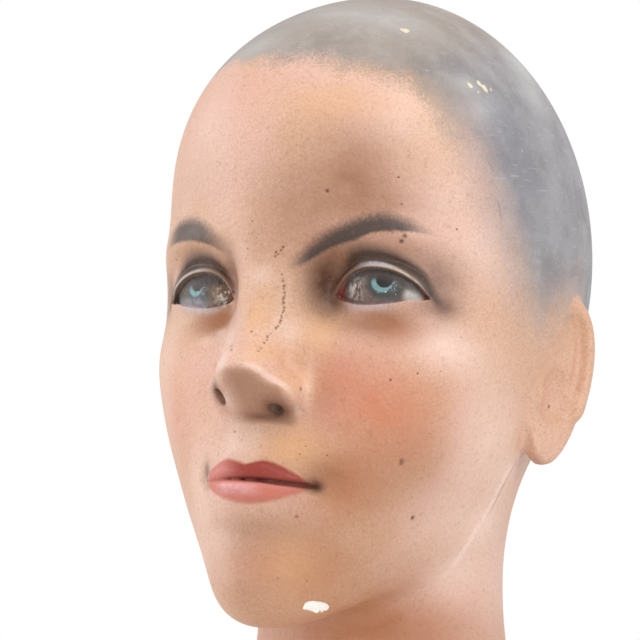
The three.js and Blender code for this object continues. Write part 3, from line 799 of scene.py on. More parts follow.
def within(stretch, t):
    """Rises between a stretch's first two numbers and falls between its last two."""
    start, full, waning, end = stretch
    return ease(start, full, t) * ease(end, waning, t)


def by_side(left_line, right_line, where):
    """A line that is drawn apart on the left and on the right side of the head."""
    return np.where(px > 0, through(left_line, where), through(right_line, where))


mark("left_mm", px)
mark("out_mm", out)

# %% Hairline
# How high the hair's edge lies, by the angle round the head from the face's middle.
HAIRLINE_LEFT = [(0, 77), (12, 76.5), (21, 75), (31, 72.3), (38.5, 63.5), (47, 50.5),
                 (54.7, 35), (61.5, 22), (69, 9), (78, 1), (90, 6), (102, 4),
                 (112, -22), (125, -48), (150, -66), (180, -70)]
HAIRLINE_RIGHT = [(0, 77), (13, 79.4), (32, 79.5), (42, 69), (50, 50), (58, 30), (66, 14),
                  (78, 4), (90, 10), (102, 6), (112, -22), (125, -48), (150, -66), (180, -70)]
HAIR_MIDDLE_Y = 80
HAIR_RADIUS = 72
EAR_MARGIN = 1.5

around = np.degrees(np.arctan2(out, HAIR_MIDDLE_Y - py))
hairline = by_side(HAIRLINE_LEFT, HAIRLINE_RIGHT, around)
a_degree_on = by_side(HAIRLINE_LEFT, HAIRLINE_RIGHT, around + 1)
steepness = (a_degree_on - hairline) / (HAIR_RADIUS * math.radians(1))
on_ear = ear(out, py, pz) < EAR_MARGIN
mark("hair_mm", np.where(on_ear, -FAR_AWAY, (pz - hairline) / np.hypot(1, steepness)))

# %% Brows
# The lower and the upper edge of each brow: how far out and how high.
BROW_LEFT_FOOT = [(8, 1.5), (10.8, 3.6), (16.7, 8.9), (23.3, 12.1), (30.2, 14.4),
                  (34, 16.2), (37.9, 17), (43.6, 17.7), (47.6, 17.8), (52, 17)]
BROW_LEFT_TOP = [(8, 5), (11.6, 8.2), (17.6, 13.8), (25.9, 18.7), (32, 21.6), (37.7, 22.9),
                 (43.3, 21.9), (48.7, 20.2), (52, 18.4)]
BROW_RIGHT_FOOT = [(8, 3), (11.9, 5.7), (18.6, 9.2), (24, 11.8), (29.1, 13.7), (35.7, 15),
                   (42.8, 15.3), (51.4, 14.6)]
BROW_RIGHT_TOP = [(8, 5), (15.5, 11), (20.7, 15.8), (26.5, 19.6), (32.8, 22.2),
                  (42.3, 22.8), (50.3, 20.5)]
BROW_BACK = 45

brow_foot = by_side(BROW_LEFT_FOOT, BROW_RIGHT_FOOT, out)
brow_top = by_side(BROW_LEFT_TOP, BROW_RIGHT_TOP, out)
mark("over_brow_foot", np.where(py < BROW_BACK, pz - brow_foot, -FAR_AWAY))
mark("under_brow_top", brow_top - pz)

# %% Lids and eyes
# The middle of the pupil, out from the face's middle and up.
PUPIL_AT = (35.6, 1.2)
EYE_BACK = (46, 38)
EYE_UPRIGHT = (-26, -18, 22, 30)
EYE_ASIDE = (13, 17, 60, 66)

level = eye_level(px, pz)
mark("by_eye", ease(*EYE_BACK, py) * within(EYE_UPRIGHT, level) * within(EYE_ASIDE, out))
mark("over_lid", level - through(UPPER_LID, out))
mark("under_lower", through(LOWER_LID, out) - level)
mark("eye_across", px - np.sign(px) * PUPIL_AT[0])
mark("eye_up", level - PUPIL_AT[1])

# %% Lips
# The paint ends sooner on the right than on the left, and doesn't follow the cheek backwards.
LIP_ENDS = (-16.6, 20.6)
LIP_BACK = 20

in_lips = np.minimum(through(LIP_TOP, out) - pz, pz - through(LIP_BOTTOM, out))
in_lips = np.minimum(in_lips, np.minimum(px - LIP_ENDS[0], LIP_ENDS[1] - px))
mark("in_lips", in_lips - np.maximum(py - LIP_BACK, 0))
mark("over_parting", pz - through(LIP_PARTING, out))

# %% Underside of the nose
# How far a point lies above the planes of the underside: its rim is where this begins to grow.
NOSE_ASIDE = (19, 16)
NOSE_BACK = (3, -2)
NOSE_UPRIGHT = (-51, -48, -26, -18)

mark("by_nose", ease(*NOSE_ASIDE, out) * ease(*NOSE_BACK, py) * within(NOSE_UPRIGHT, pz))
mark("over_nose_under", -nose_under(out, py, pz))

# %% Back edge of the jaw and the crack at the temple
# How far back each of them lies, by height. Both are only on the left side.
JAW_EDGE = [(-91.2, 75.2), (-85.3, 75.4), (-75.8, 75.5), (-68.4, 77.2), (-61.9, 77.9),
            (-57.5, 78.8), (-52.9, 81.2)]
JAW_UPRIGHT = (-95, -86, -55, -49)
JAW_LEFT = (30, 40)
JAW_DEEP = (60, 66, 86, 92)
TEMPLE_CRACK = [(26.3, 41.7), (30.9, 40), (36.4, 38.1), (43.1, 36.5), (47.7, 33.5),
                (50.3, 29.9)]
CRACK_UPRIGHT = (25, 29, 49, 52)
CRACK_LEFT = (48, 54)
CRACK_DEEP = (22, 26, 48, 54)

mark("behind_jaw", py - through(JAW_EDGE, pz))
mark("by_jaw", within(JAW_UPRIGHT, pz) * ease(*JAW_LEFT, px) * within(JAW_DEEP, py))
mark("beside_crack", py - through(TEMPLE_CRACK, pz))
mark("by_crack", within(CRACK_UPRIGHT, pz) * ease(*CRACK_LEFT, px) * within(CRACK_DEEP, py))

# %% Airbrushed spots
# Each spot: its middle on the head, how far it spreads each way, and how dense it is.
SPOTS = {
    # Painted shade in tan: on the forehead, under the brows and eyes, beside the nose, in the fold
    # above the chin, along the jaw and under the chin.
    "tan_shade": [
        ((8, 0, 24), (15, 40, 20), 0.42), ((29, 0, 36), (15, 40, 19), 0.62),
        ((33, 0, 26), (20, 40, 8), 0.5), ((0, 0, 13), (10, 40, 12), 0.2),
        ((-30, 0, 36), (14, 40, 14), 0.12), ((44, 20, -60), (17, 30, 20), 0.42),
        ((5, 0, -95), (22, 30, 13), 0.4), ((-20, 60, -116), (40, 46, 12), 0.45),
        ((33, 32, -92), (16, 26, 12), 0.2), ((0, 0, -84), (15, 30, 4.5), 0.35),
        ((18, 5, -88), (9, 30, 14), 0.35), ((36, 8, 12.5), (15, 30, 4.5), 0.5),
        ((-36, 8, 12), (13, 30, 3.5), 0.5), ((36, 12, -12.5), (14, 30, 6), 0.88),
        ((-27, 10, -12), (11, 30, 5.5), 0.6), ((-21, 8, -13), (7, 30, 5), 0.5),
        ((22, 0, -42), (6, 20, 9), 0.35), ((-52, 24, -90), (20, 40, 20), 0.15),
        ((66, 45, 20), (6, 30, 16), 0.12),
    ],
    # Warmer painted shade: beside the mouth, on and under the chin and jaw, under the eyes and in
    # the sockets.
    "sienna_shade": [
        ((28, 7, -67), (12, 30, 13), 0.75), ((19, 7, -95), (16, 30, 13), 0.5),
        ((3, -2, -96), (14, 30, 9), 0.25), ((25, 60, -112), (44, 46, 13), 0.85),
        ((20, 60, -128), (50, 60, 16), 0.5), ((14, -4, -57), (8, 20, 7), 0.35),
        ((27, 2, -32), (12, 30, 14), 0.3), ((30, 0, 34), (13, 40, 14), 0.15),
        ((42, 20, -60), (16, 30, 16), 0.25), ((36, 12, -13.5), (12, 30, 5), 0.32),
        ((-22, 8, -13), (7, 20, 5), 0.4), ((44, 13, -17), (8, 30, 7), 0.35),
        ((-19, 10, 0), (5, 30, 7), 0.4), ((-26, 10, -12), (8, 20, 4), 0.25),
        ((20, 8, 8), (8, 30, 8), 0.4),
    ],
    "blush": [
        ((39, 9, -40), (18, 40, 15), 0.7), ((26, 4, -32), (8, 40, 9), 0.25),
        ((-38, 9, -42), (17, 40, 20), 0.34), ((-25, 0, 66), (20, 40, 10), 0.25),
        ((28, 0, 62), (12, 40, 8), 0.1),
    ],
    # Painted highlights: on the forehead, temple, cheekbone and nose, along the jaw's edge and on
    # the far side of the face.
    "painted_highlights": [
        ((56, 25, -19), (9, 24, 8), 0.6), ((54, 20, 34), (8, 24, 17), 0.25),
        ((63, 36, 14), (9, 30, 16), 0.15), ((41, 10, 62), (13, 24, 12), 0.42),
        ((63, 37, 17), (6, 30, 12), 0.3), ((63, 47, -33), (8, 20, 12), 0.25),
        ((49, 52, -74), (12, 30, 12), 0.3), ((46, 102, -92), (16, 40, 20), 0.25),
        ((-28, 0, 60), (13, 30, 16), 0.35), ((-4, -6, -55), (6, 20, 7), 0.5),
        ((0, -7, 0), (5, 20, 4), 0.4), ((9.5, -5, -19), (3.5, 10, 6), 0.4),
        ((-12, -4, -20), (6, 20, 9), 0.4), ((61, 57, -44), (9, 22, 12), 0.45),
        ((60, 45, -60), (8, 20, 14), 0.35), ((59, 76, -55), (6, 14, 10), 0.4),
        ((51, 80, -74), (8, 14, 12), 0.6), ((41, 76, -91), (10, 14, 9), 0.5),
        ((-22, 8, -86), (14, 30, 20), 0.3), ((-47, 12, -30), (9, 30, 24), 0.35),
        ((-10, -18, -27), (6, 8, 6), 0.4), ((-25, 5, -66), (5, 20, 10), 0.25),
        ((-16.5, 5, -12), (1.8, 10, 3.5), 0.4), ((-20, 4.5, -17.5), (3, 10, 1.8), 0.45),
        ((-25, 4, -20.5), (4, 10, 1.8), 0.35), ((17.4, -3, -35), (1.6, 7, 7), 0.5),
        ((-6.6, -10.5, -42.5), (2, 5, 3.4), 0.6), ((-6, -19, -31), (4, 6, 4), 0.45),
    ],
    "gold": [
        ((1.5, -11, -15), (4, 20, 7), 0.5), ((7, -13, -27), (6, 20, 6), 0.5),
        ((19, 3, -17), (6, 20, 7), 0.6), ((14, -4, -57), (9, 20, 7), 0.6),
        ((16, -8, -35), (4, 20, 6), 0.5), ((22, 0, 60), (20, 40, 7), 0.4),
        ((14, 2, -93), (10, 20, 12), 0.35),
    ],
    # The deepest painted shade: in the sockets and beside the eyes, under the nose, at the corners
    # of the mouth and under the ear lobe.
    "umber_shade": [
        ((17.8, 8, 1), (6, 30, 9.5), 0.97), ((18.5, 8, -5), (4.5, 30, 6), 0.75),
        ((26, 8, 9), (8, 30, 5), 0.35), ((23.5, 10, 2), (4.4, 30, 5.5), 0.5),
        ((-24, 11, 3), (4.5, 30, 5), 0.5), ((49, 21, 1), (5, 30, 6), 0.3),
        ((-55, 24, 0), (5, 30, 8), 0.6), ((-18, 8, 5), (4, 30, 7), 0.5),
        ((-19, 8, -3), (3, 30, 4), 0.35), ((51, 20, 4), (8, 30, 8), 0.48),
        ((36, 12, -14), (10, 30, 4), 0.1), ((53, 24, -5.5), (4.4, 30, 4.4), 0.7),
        ((-19, 0.5, -66), (2.2, 14, 4.5), 0.5), ((-0.3, -18, -37.3), (4, 7, 3.5), 0.22),
        ((11.9, -7, -44), (4, 5, 3), 0.3), ((1.3, -6, -46.5), (5, 5, 2), 0.3),
        ((22, 4, -64), (7, 20, 5), 0.25), ((1, -4, -50.5), (8, 14, 2), 0.16),
        ((66, 92, -52), (5, 12, 5), 0.4),
    ],
    "slate": [
        ((62, 42, 60), (8, 12, 14), 0.5), ((68, 51, 50), (8, 12, 12), 0.5),
        ((45, 29, 80), (12, 12, 7), 0.25),
    ],
    # Painted sheen on the hair, on the top and at the edges of the skull.
    "hair_sheen": [
        ((54, 84, 99), (10, 12, 12), 0.75), ((62, 76, 84), (8, 10, 10), 0.45),
        ((-22, 8, 86), (16, 20, 9), 0.5), ((58, 33, 66), (6, 8, 6), 0.35),
        ((18, 26, 98), (28, 14, 9), 0.5), ((52, 32, 74.5), (5, 8, 4), 0.45),
    ],
    # Dark paint in the nostrils and the corners of the mouth, deepened into painted shade, with a
    # painted shadow under the nose.
    "dark": [
        ((20.4, 4, -68.4), (2.4, 14, 2.1), 0.97), ((-18.2, 0.4, -68), (1.3, 14, 2.2), 0.55),
        ((-18.6, 0.4, -64), (1, 14, 1.6), 0.35), ((-9.9, -11, -39.6), (1.7, 5.4, 4), 0.97),
        ((9.2, -5, -44), (4.4, 7, 3.6), 0.98), ((3.5, -5, -47), (6, 4, 1.1), 0.55),
    ],
}


def airbrushed(spots):
    """How much paint all the spots together leave on each point, from 0 to 1."""
    untouched = np.ones(count)
    for middle, spread, dense in spots:
        reach = (((place - middle) / spread) ** 2).sum(axis=1)
        untouched *= 1 - dense * np.exp(-reach)
    return 1 - untouched


for name, spots in SPOTS.items():
    mark(name, airbrushed(spots))

# %% [markdown]
# ## Mixing paint
# Shader maths reads best as plain sums. A small class wraps a node's output, and Python's own
# operators on it add the Math nodes; every other node comes from one method.

# %% The wire and the recipe


def linear(red, green, blue):
    """A colour as seen on screen, 0 to 255, in the light's own scale."""
    shares = [value / 255 for value in (red, green, blue)]
    return tuple(
        s / 12.92 if s <= 0.04045 else ((s + 0.055) / 1.055) ** 2.4 for s in shares
    ) + (1.0,)


class Wire:
    """One output of a node, on which Python's operators add Math nodes."""

    def __init__(self, recipe, socket):
        self.recipe = recipe
        self.socket = socket

    def maths(self, operation, first, second):
        return self.recipe.node("Math", {"operation": operation}, {0: first, 1: second})

    def __add__(self, other):
        return self.maths("ADD", self, other)

    def __radd__(self, other):
        return self.maths("ADD", other, self)

    def __sub__(self, other):
        return self.maths("SUBTRACT", self, other)

    def __rsub__(self, other):
        return self.maths("SUBTRACT", other, self)

    def __mul__(self, other):
        return self.maths("MULTIPLY", self, other)

    def __rmul__(self, other):
        return self.maths("MULTIPLY", other, self)

    def __pow__(self, other):
        return self.maths("POWER", self, other)

    def smaller(self, other):
        return self.maths("MINIMUM", self, other)

    def larger(self, other):
        return self.maths("MAXIMUM", self, other)

    def size(self):
        return (self * self) ** 0.5


# A dot is full up to this share of its radius, and the draw of the dots has a slightly soft edge.
DOT_FULL = 0.6
DRAW_EDGE = 0.1


class Recipe:
    """The nodes of one material or world."""

    def __init__(self, owner):
        owner.use_nodes = True
        self.tree = owner.node_tree
        self.tree.nodes.clear()

    def node(self, kind, settings=None, sockets=None, output=0):
        made = self.tree.nodes.new("ShaderNode" + kind)
        for name, value in (settings or {}).items():
            setattr(made, name, value)
        for name, value in (sockets or {}).items():
            if isinstance(value, Wire):
                self.tree.links.new(value.socket, made.inputs[name])
            else:
                made.inputs[name].default_value = value
        return Wire(self, made.outputs[output]) if made.outputs else made

    def marked(self, name):
        return self.node("Attribute", {"attribute_name": name}, output="Fac")

    def between(self, value, low, high, start=0.0, end=1.0):
        """Goes smoothly from start to end while the value goes from low to high."""
        ends = {"From Min": low, "From Max": high, "To Min": start, "To Max": end}
        return self.node("MapRange", {"interpolation_type": "SMOOTHSTEP"},
                         {"Value": value, **ends})

    def spot(self, size_mm, stretch=(1, 1, 1)):
        """The place on the cast, counted in lumps of this many millimetres."""
        scale = tuple(1 / (MM * size_mm * s) for s in stretch)
        here = self.node("TexCoord", output="Object")
        return self.node("VectorMath", {"operation": "MULTIPLY"}, {0: here, 1: scale})

    def grain(self, size_mm, detail=2.0, rough=0.5, stretch=(1, 1, 1)):
        """Noise from 0 to 1 whose lumps are about this many millimetres across."""
        return self.node("TexNoise", {}, {
            "Vector": self.spot(size_mm, stretch), "Scale": 1.0, "Detail": detail,
            "Roughness": rough})

    def dots(self, size_mm, radius_mm, share):
        """Scattered round dots, one in some of the cells of this size."""
        cells = {"Vector": self.spot(size_mm), "Scale": 1.0}
        near = self.node("TexVoronoi", {}, cells, output="Distance")
        shade = self.node("TexVoronoi", {}, cells, output="Color")
        pick = self.between(self.node("SeparateColor", {}, {0: shade}), share, share - DRAW_EDGE)
        edge = radius_mm / size_mm
        return pick * self.between(near, edge, DOT_FULL * edge)

    def band(self, value, stretch):
        """Rises between a stretch's first two numbers and falls between its last two."""
        start, full, waning, end = stretch
        return self.between(value, start, full) * self.between(value, end, waning)

    def over(self, below, *layers):
        """Lays colours over another, each with its share, the last one on top."""
        for colour, share in layers:
            sockets = {0: share, 6: below, 7: colour}
            below = self.node("Mix", {"data_type": "RGBA"}, sockets, output=2)
        return below


def ragged(edge, noise, by):
    """Shakes an edge to and fro by a noise, by this much in all."""
    return edge + by * (noise - 0.5)


print("bright skin paint:", [round(v, 2) for v in linear(233, 190, 165)])

# %% [markdown]
# ## The skin
# The flesh colour is sprayed over the whole cast in thin coats that never match quite: it is a
# little pinker or yellower from place to place, with a fine speckle of droplets. Painted shade in
# tan, sienna and umber, blush, and painted highlights in pale are airbrushed over it.

# %% Flesh paint
paint = bpy.data.materials.new("painted_plaster")
mix = Recipe(paint)

FLESH_WARM = linear(213, 169, 140)
FLESH_ROSE = linear(220, 176, 156)
TAN = linear(142, 95, 64)
SIENNA = linear(172, 106, 66)
BLUSH = linear(206, 122, 88)
PALE = linear(246, 216, 204)
GOLD = linear(228, 176, 128)
UMBER = linear(74, 36, 8)
DARK_PAINT_AND_SHADE = linear(64, 27, 6)

drift = mix.grain(46, 2)
mottle = mix.grain(9, 3)
speckle = mix.grain(0.8, 2)
streaks = mix.grain(5, 4, 0.6, stretch=(3, 1, 1))
brushed = mix.grain(2.4, 3, 0.6)
droplets = mix.between(speckle, 0.5, 0.75)
patchy = 0.55 + 0.5 * mottle + 0.4 * streaks


def sprayed(name):
    """The share of an airbrushed layer, a little uneven."""
    return (mix.marked(name) * patchy).smaller(1.0)


# Of the airbrushed layers, tan, sienna and umber are painted shade and pale is painted highlights.
colour = mix.over(
    FLESH_WARM,
    (FLESH_ROSE, mix.between(drift, 0.4, 0.6)),
    (TAN, 0.14 * droplets),
    (PALE, 0.2 * mix.between(speckle, 0.5, 0.3)),
    (TAN, sprayed("tan_shade")),
    (SIENNA, sprayed("sienna_shade")),
    (BLUSH, sprayed("blush")),
    (PALE, sprayed("painted_highlights")),
    (GOLD, sprayed("gold")),
    (UMBER, sprayed("umber_shade")),
)
print("flesh layers laid on")

# %% Underside of the nose
# Stretches here and below are in millimetres: where the paint starts, is full, wanes and ends.
# Painted shade on the underside of the nose, and a painted highlight along its rim.
UNDER_NOSE_SHADE = linear(158, 112, 84)
RIM_HIGHLIGHT = linear(250, 222, 206)
SHADE_DEPTH = (-2.2, -0.7, 0.2, 3.0)
SHADE_ASIDE = (-11.0, 0.0, 12.0, 16.0)
RIM_DEPTH = (1.2, 2.2, 2.5, 4.6)
RIM_ASIDE = (-1.0, 6.0, 14.0, 17.0)

left_mm = mix.marked("left_mm")
out_mm = mix.marked("out_mm")
by_nose = mix.marked("by_nose")
over_under = mix.marked("over_nose_under")
shade = mix.band(over_under, SHADE_DEPTH) * mix.band(left_mm, SHADE_ASIDE) * by_nose
rim = mix.band(over_under, RIM_DEPTH) * mix.band(left_mm, RIM_ASIDE) * by_nose
colour = mix.over(colour, (UNDER_NOSE_SHADE, 0.75 * shade), (RIM_HIGHLIGHT, 0.4 * rim))
print("the nose is shaded from below")

# %% Back edge of the jaw
# The edge catches the light, so a painted highlight runs along it, and at its upper end a thin
# brown line of painted shade runs just behind it.
JAW_HIGHLIGHT_MM = (-5.0, -1.5, -0.6, 1.6)
JAW_SHADE_MM = (0.2, 0.8, 1.1, 2.6)

parting = mix.marked("over_parting")
by_jaw = mix.marked("by_jaw")
behind_jaw = ragged(mix.marked("behind_jaw"), streaks, 1.6)
jaw_highlight = mix.band(behind_jaw, JAW_HIGHLIGHT_MM) * by_jaw
jaw_shade_line = mix.band(behind_jaw, JAW_SHADE_MM) * mix.between(parting, -5.0, 4.0) * patchy * by_jaw
colour = mix.over(colour, (PALE, 0.65 * jaw_highlight), (TAN, 0.4 * jaw_shade_line))
print("the jaw's edge is picked out")

# %% [markdown]
# ## Hair and brows
# The hair is only a cap of grey paint. On the real head it was sprayed with no stencil, so its
# edge is a cloud of droplets, crisp at the forehead and wide at the temple. A noise that shakes
# the distance from the hairline gives such an edge; a picture of hair would look glued on.

# %% Sprayed hair
HAIR_BROWN = linear(152, 142, 134)
HAIR_BLUE = linear(144, 145, 151)
HAIR_OLIVE = linear(150, 128, 98)
HAIR_DARK = linear(104, 96, 92)
HAIR_SLATE = linear(112, 118, 130)
HAIR_PALE = linear(196, 196, 194)
FRINGE_MM = (-9.0, 0.0, 1.0, 12.0)
FRINGE_ASIDE = (6.0, 24.0, 44.0, 62.0)

hair_edge = ragged(ragged(mix.marked("hair_mm"), mottle, 9), speckle, 10)
softness = 4.5 + 13.0 * mix.between(left_mm, 36.0, 62.0)
hair = mix.between(hair_edge, -1 * softness, softness)
fringe = mix.band(hair_edge, FRINGE_MM) * mix.band(left_mm, FRINGE_ASIDE)
clouds = mix.between(mix.grain(22, 5, 0.66), 0.4, 0.7)
blotches = mix.grain(11, 4, 0.62)
outer = mix.between(out_mm, 36.0, 60.0)
# Over the grey and its blotches, the silver layer is painted sheen on the top and the edges of the
# skull.
hair_tone = mix.over(
    HAIR_BROWN,
    (HAIR_BLUE, mix.between(out_mm, 36.0, 62.0)),
    (HAIR_DARK, 0.35 * clouds),
    (HAIR_DARK, 0.4 * mix.between(left_mm, -2.0, -30.0)),
    (HAIR_SLATE, sprayed("slate")),
    (HAIR_SLATE, 0.3 * mix.between(blotches, 0.52, 0.66) * outer),
    (HAIR_PALE, 0.12 * mix.between(blotches, 0.5, 0.32)),
    (HAIR_PALE, sprayed("hair_sheen")),
)
colour = mix.over(colour, (HAIR_OLIVE, 0.5 * fringe), (hair_tone, 0.94 * hair))
print("hair sprayed")

# %% Crack at the temple
CRACK_BROWN = linear(110, 80, 70)
CRACK_MM = (0.55, 0.1)

beside_crack = ragged(ragged(mix.marked("beside_crack"), streaks, 2.2), speckle, 0.7)
cracked = mix.between(beside_crack.size(), *CRACK_MM) * mix.marked("by_crack")
colour = mix.over(colour, (CRACK_BROWN, 0.4 * cracked * mix.between(mottle, 0.4, 0.5)))
print("crack drawn")

# %% Brows
BROW_CHARCOAL = linear(60, 52, 50)

brow = mix.between(ragged(mix.marked("over_brow_foot"), speckle, 0.9), -0.7, 0.8)
brow = brow * mix.between(ragged(mix.marked("under_brow_top"), speckle, 2.6), -2.4, 2.6)
brow = brow * mix.between(left_mm, 7.0, 15.0).larger(mix.between(left_mm, -13.0, -31.0))
brow = brow * mix.between(out_mm, 54.0, 42.0)
strength = mix.between(left_mm, -20.0, 20.0, 0.9, 0.92)
colour = mix.over(colour, (BROW_CHARCOAL, strength * brow))
print("brows painted")

# %% [markdown]
# ## The eyes
# The eyeball is cast with the lids and only painted: a mauve-grey white, a dark grey iris with a
# turquoise crescent, a dark pupil, and a brown shadow of the lashes over its top. Above it runs
# the lid's pale edge, and above that the dark crease is airbrushed and fades towards the brow.

# %% Lids
CREASE_DARK = linear(68, 56, 50)
CREASE_UMBER = linear(80, 46, 24)
LID_BROWN = linear(112, 90, 78)
LID_LIGHT = linear(196, 190, 192)
LID_CREAM = linear(200, 184, 164)
LID_TAN = linear(168, 142, 128)
LOWER_LIGHT = linear(212, 208, 214)
CREASE_MM = (0.4, 2.4, 3.0, 8.6)
CREASE_ASIDE = (-66.0, -58.0, 47.0, 58.0)
LID_SIDE_MM = (-0.8, 0.0, 1.2, 2.6)
EDGE_ASIDE = (25.0, 33.0, 45.0, 51.0)
TAN_ASIDE = (-36.0, -28.0, -2.0, 2.0)
LOWER_EDGE_MM = (-0.4, 0.9, 1.1, 2.8)
LOWER_EDGE_ASIDE = (21.0, 27.0, 34.0, 43.0)

by_eye = mix.marked("by_eye")
over_lid = mix.marked("over_lid")
under_lower = mix.marked("under_lower")
across = mix.marked("eye_across")
up = mix.marked("eye_up")
span = mix.band(left_mm, CREASE_ASIDE) * mix.between(out_mm, 14.0, 28.0) * by_eye
span = span * mix.between(up, -9.0, -4.5)
crease = mix.band(over_lid, CREASE_MM) * span
crease_tone = mix.over(CREASE_UMBER, (CREASE_DARK, mix.between(out_mm, 20.0, 30.0)))
lid_side = mix.band(over_lid, LID_SIDE_MM) * span
edge_top = mix.between(left_mm, 46.0, 32.0, 1.5, 2.5)
edge_top = edge_top.smaller(mix.between(left_mm, 0.0, 20.0, 1.6, 2.5))
lid_edge = mix.between(over_lid, 0.0, 0.8) * mix.between(over_lid, edge_top, edge_top - 0.9)
lid_edge = lid_edge * mix.band(out_mm, EDGE_ASIDE) * by_eye
lid_edge = lid_edge * mix.between(brushed, 0.3, 0.6, 0.55, 1.0)
lid_tone = mix.over(
    LID_LIGHT,
    (LID_CREAM, mix.between(left_mm, 34.0, 42.0)),
    (LID_TAN, mix.band(left_mm, TAN_ASIDE)),
)
lower_edge = mix.band(under_lower, LOWER_EDGE_MM) * mix.band(out_mm, LOWER_EDGE_ASIDE)
colour = mix.over(
    colour,
    (crease_tone, (crease * 1.15).smaller(0.93)),
    (LID_BROWN, 0.6 * lid_side),
    (lid_tone, lid_edge),
    (LOWER_LIGHT, 0.25 * lower_edge * by_eye),
)
print("lids painted")

# %% Eyeballs
BALL_MAUVE = linear(124, 106, 101)
BALL_BROWN = linear(104, 80, 70)
BALL_WHITE = linear(212, 210, 204)
BALL_OCHRE = linear(134, 96, 64)
BALL_OLIVE = linear(92, 88, 78)
IRIS_GREY = linear(72, 74, 72)
TURQUOISE = linear(122, 162, 166)
PUPIL_DARK = linear(38, 36, 36)
LASH_BROWN = linear(74, 64, 60)
LAVENDER = linear(172, 176, 192)
SPECK_CREAM = linear(222, 222, 206)
CANTHUS_RED = linear(150, 66, 56)
# Each disc: how far to the viewer's right of the pupil's middle and above it, then its radius
# at the rim and where it is full.
IRIS = (0.9, -0.6, 7.5, 4.9)
CRESCENT = (-0.3, -0.6, 3.7, 2.9)
ARCS = (2.8, -1.6, 2.6, 1.4)
PUPIL = (0.5, 0.3, 3.0, 2.4)
SPECKS = (1.4, -4.4, 3.6, 1.8)
INNER_ASIDE = (22.4, 25.5, 26.5, 30.5)
OCHRE_ASIDE = (-32.0, -27.0, -2.0, 2.0)


def disc(right_by, up_by, rim_at, full_at):
    """A soft round spot on the eyeball, beside the pupil's middle."""
    a = across - right_by
    b = up - up_by
    return mix.between((a * a + b * b) ** 0.5, rim_at, full_at)


outer_white = mix.between(out_mm, 40.5, 43.5) * mix.between(up, -1.0, -4.0)
outer_white = outer_white * mix.between(left_mm, -2.0, 2.0)
strokes = mix.between(mix.grain(0.8, 2, 0.5, (1, 1, 2.4)), 0.4, 0.62)
inner_white = mix.band(out_mm, INNER_ASIDE) * mix.between(under_lower, -0.8, -2.4) * strokes
glow = disc(*CRESCENT) * mix.between(up, 1.2, -0.4) * mix.between(brushed, 0.3, 0.5, 0.7, 1.0)
arcs = disc(*ARCS) * mix.between(across, 1.6, 3.0) * mix.between(mix.grain(0.7, 2), 0.45, 0.6)
lash_reach = mix.between(left_mm, -20.0, 20.0, -6.4, -5.0)
lashes = mix.between(ragged(over_lid, brushed, 0.8), lash_reach, lash_reach + 3.6)
corner = mix.between(out_mm, 23.4, 20.6).larger(mix.between(left_mm, 46.0, 49.0))
veil = mix.between(up, -3.0, -6.4) * mix.between(brushed, 0.3, 0.6, 0.3, 0.9)
veil = veil * mix.between(left_mm, -27.0, -35.0)
ochre = mix.band(left_mm, OCHRE_ASIDE) * mix.between(up, 2.0, -3.0)
ball = mix.over(
    BALL_MAUVE,
    (BALL_BROWN, mix.between(brushed, 0.42, 0.62)),
    (BALL_OLIVE, 0.75 * mix.between(left_mm, -20.0, -28.0)),
    (BALL_WHITE, 0.8 * outer_white),
    (BALL_WHITE, 0.7 * inner_white),
    (IRIS_GREY, disc(*IRIS)),
    (TURQUOISE, glow),
    (LAVENDER, 0.5 * arcs),
    (PUPIL_DARK, disc(*PUPIL)),
    (LASH_BROWN, 0.9 * lashes),
    (SPECK_CREAM, 0.7 * mix.dots(1.4, 0.36, 0.5) * disc(*SPECKS)),
    (CANTHUS_RED, 0.75 * corner),
    (LAVENDER, 0.7 * veil),
    (BALL_OCHRE, 0.6 * ochre),
)
opening = mix.between(over_lid, 0.5, -0.5) * mix.between(under_lower, 0.7, -1.0) * by_eye
colour = mix.over(colour, (ball, opening))
print("eyeballs painted")

# %% Haze under the eyes and worn paint in the far one
LOWER_HAZE = linear(192, 180, 184)
HAZE_MM = (-3.4, 0.2, 0.4, 3.8)
HAZE_ASIDE = (-46.0, -40.0, 36.0, 44.0)
WORN_ASIDE = (-28.0, -25.0, -20.0, -18.0)

haze = mix.band(under_lower, HAZE_MM) * mix.band(left_mm, HAZE_ASIDE)
haze = haze * mix.between(out_mm, 21.0, 28.0) * by_eye
haze = haze * mix.between(left_mm, -26.0, -34.0, 0.32, 0.7)
haze = haze * mix.between(brushed, 0.3, 0.6, 0.5, 1.0)
worn = mix.between(mix.grain(1.8, 3, 0.6), 0.53, 0.58) * mix.band(left_mm, WORN_ASIDE)
worn = worn * mix.between(up, -0.5, -2.5) * mix.between(under_lower, 1.5, 0.5)
worn = worn * mix.between(over_lid, 1.0, 0.0) * by_eye
colour = mix.over(colour, (LOWER_HAZE, haze), (BALL_WHITE, 0.8 * worn))
print("eyes finished")

# %% [markdown]
# ## Lips, nostrils and corners
# The lips are two brush colours with a dark line between them that thickens to the side, a painted
# lilac highlight on the lower one, and soft spots of dark paint, deepened into painted shade, in
# the corners of the mouth and in the nostrils.

# %% Lips
LIP_RED = linear(150, 55, 44)
LIP_ROSE = linear(206, 122, 112)
LIP_CORAL = linear(208, 122, 106)
LIP_LILAC = linear(232, 174, 176)
LIP_DARK = linear(92, 34, 24)
LILAC_ASIDE = (-13.0, -6.0, 0.0, 9.0)
LILAC_BELOW = (-6.0, -3.4, -2.2, -0.6)

lip_mask = mix.between(ragged(mix.marked("in_lips"), brushed, 0.9), -0.7, 1.0)
rosy = ragged(mix.between(left_mm, 2.0, -12.0), streaks, 0.3)
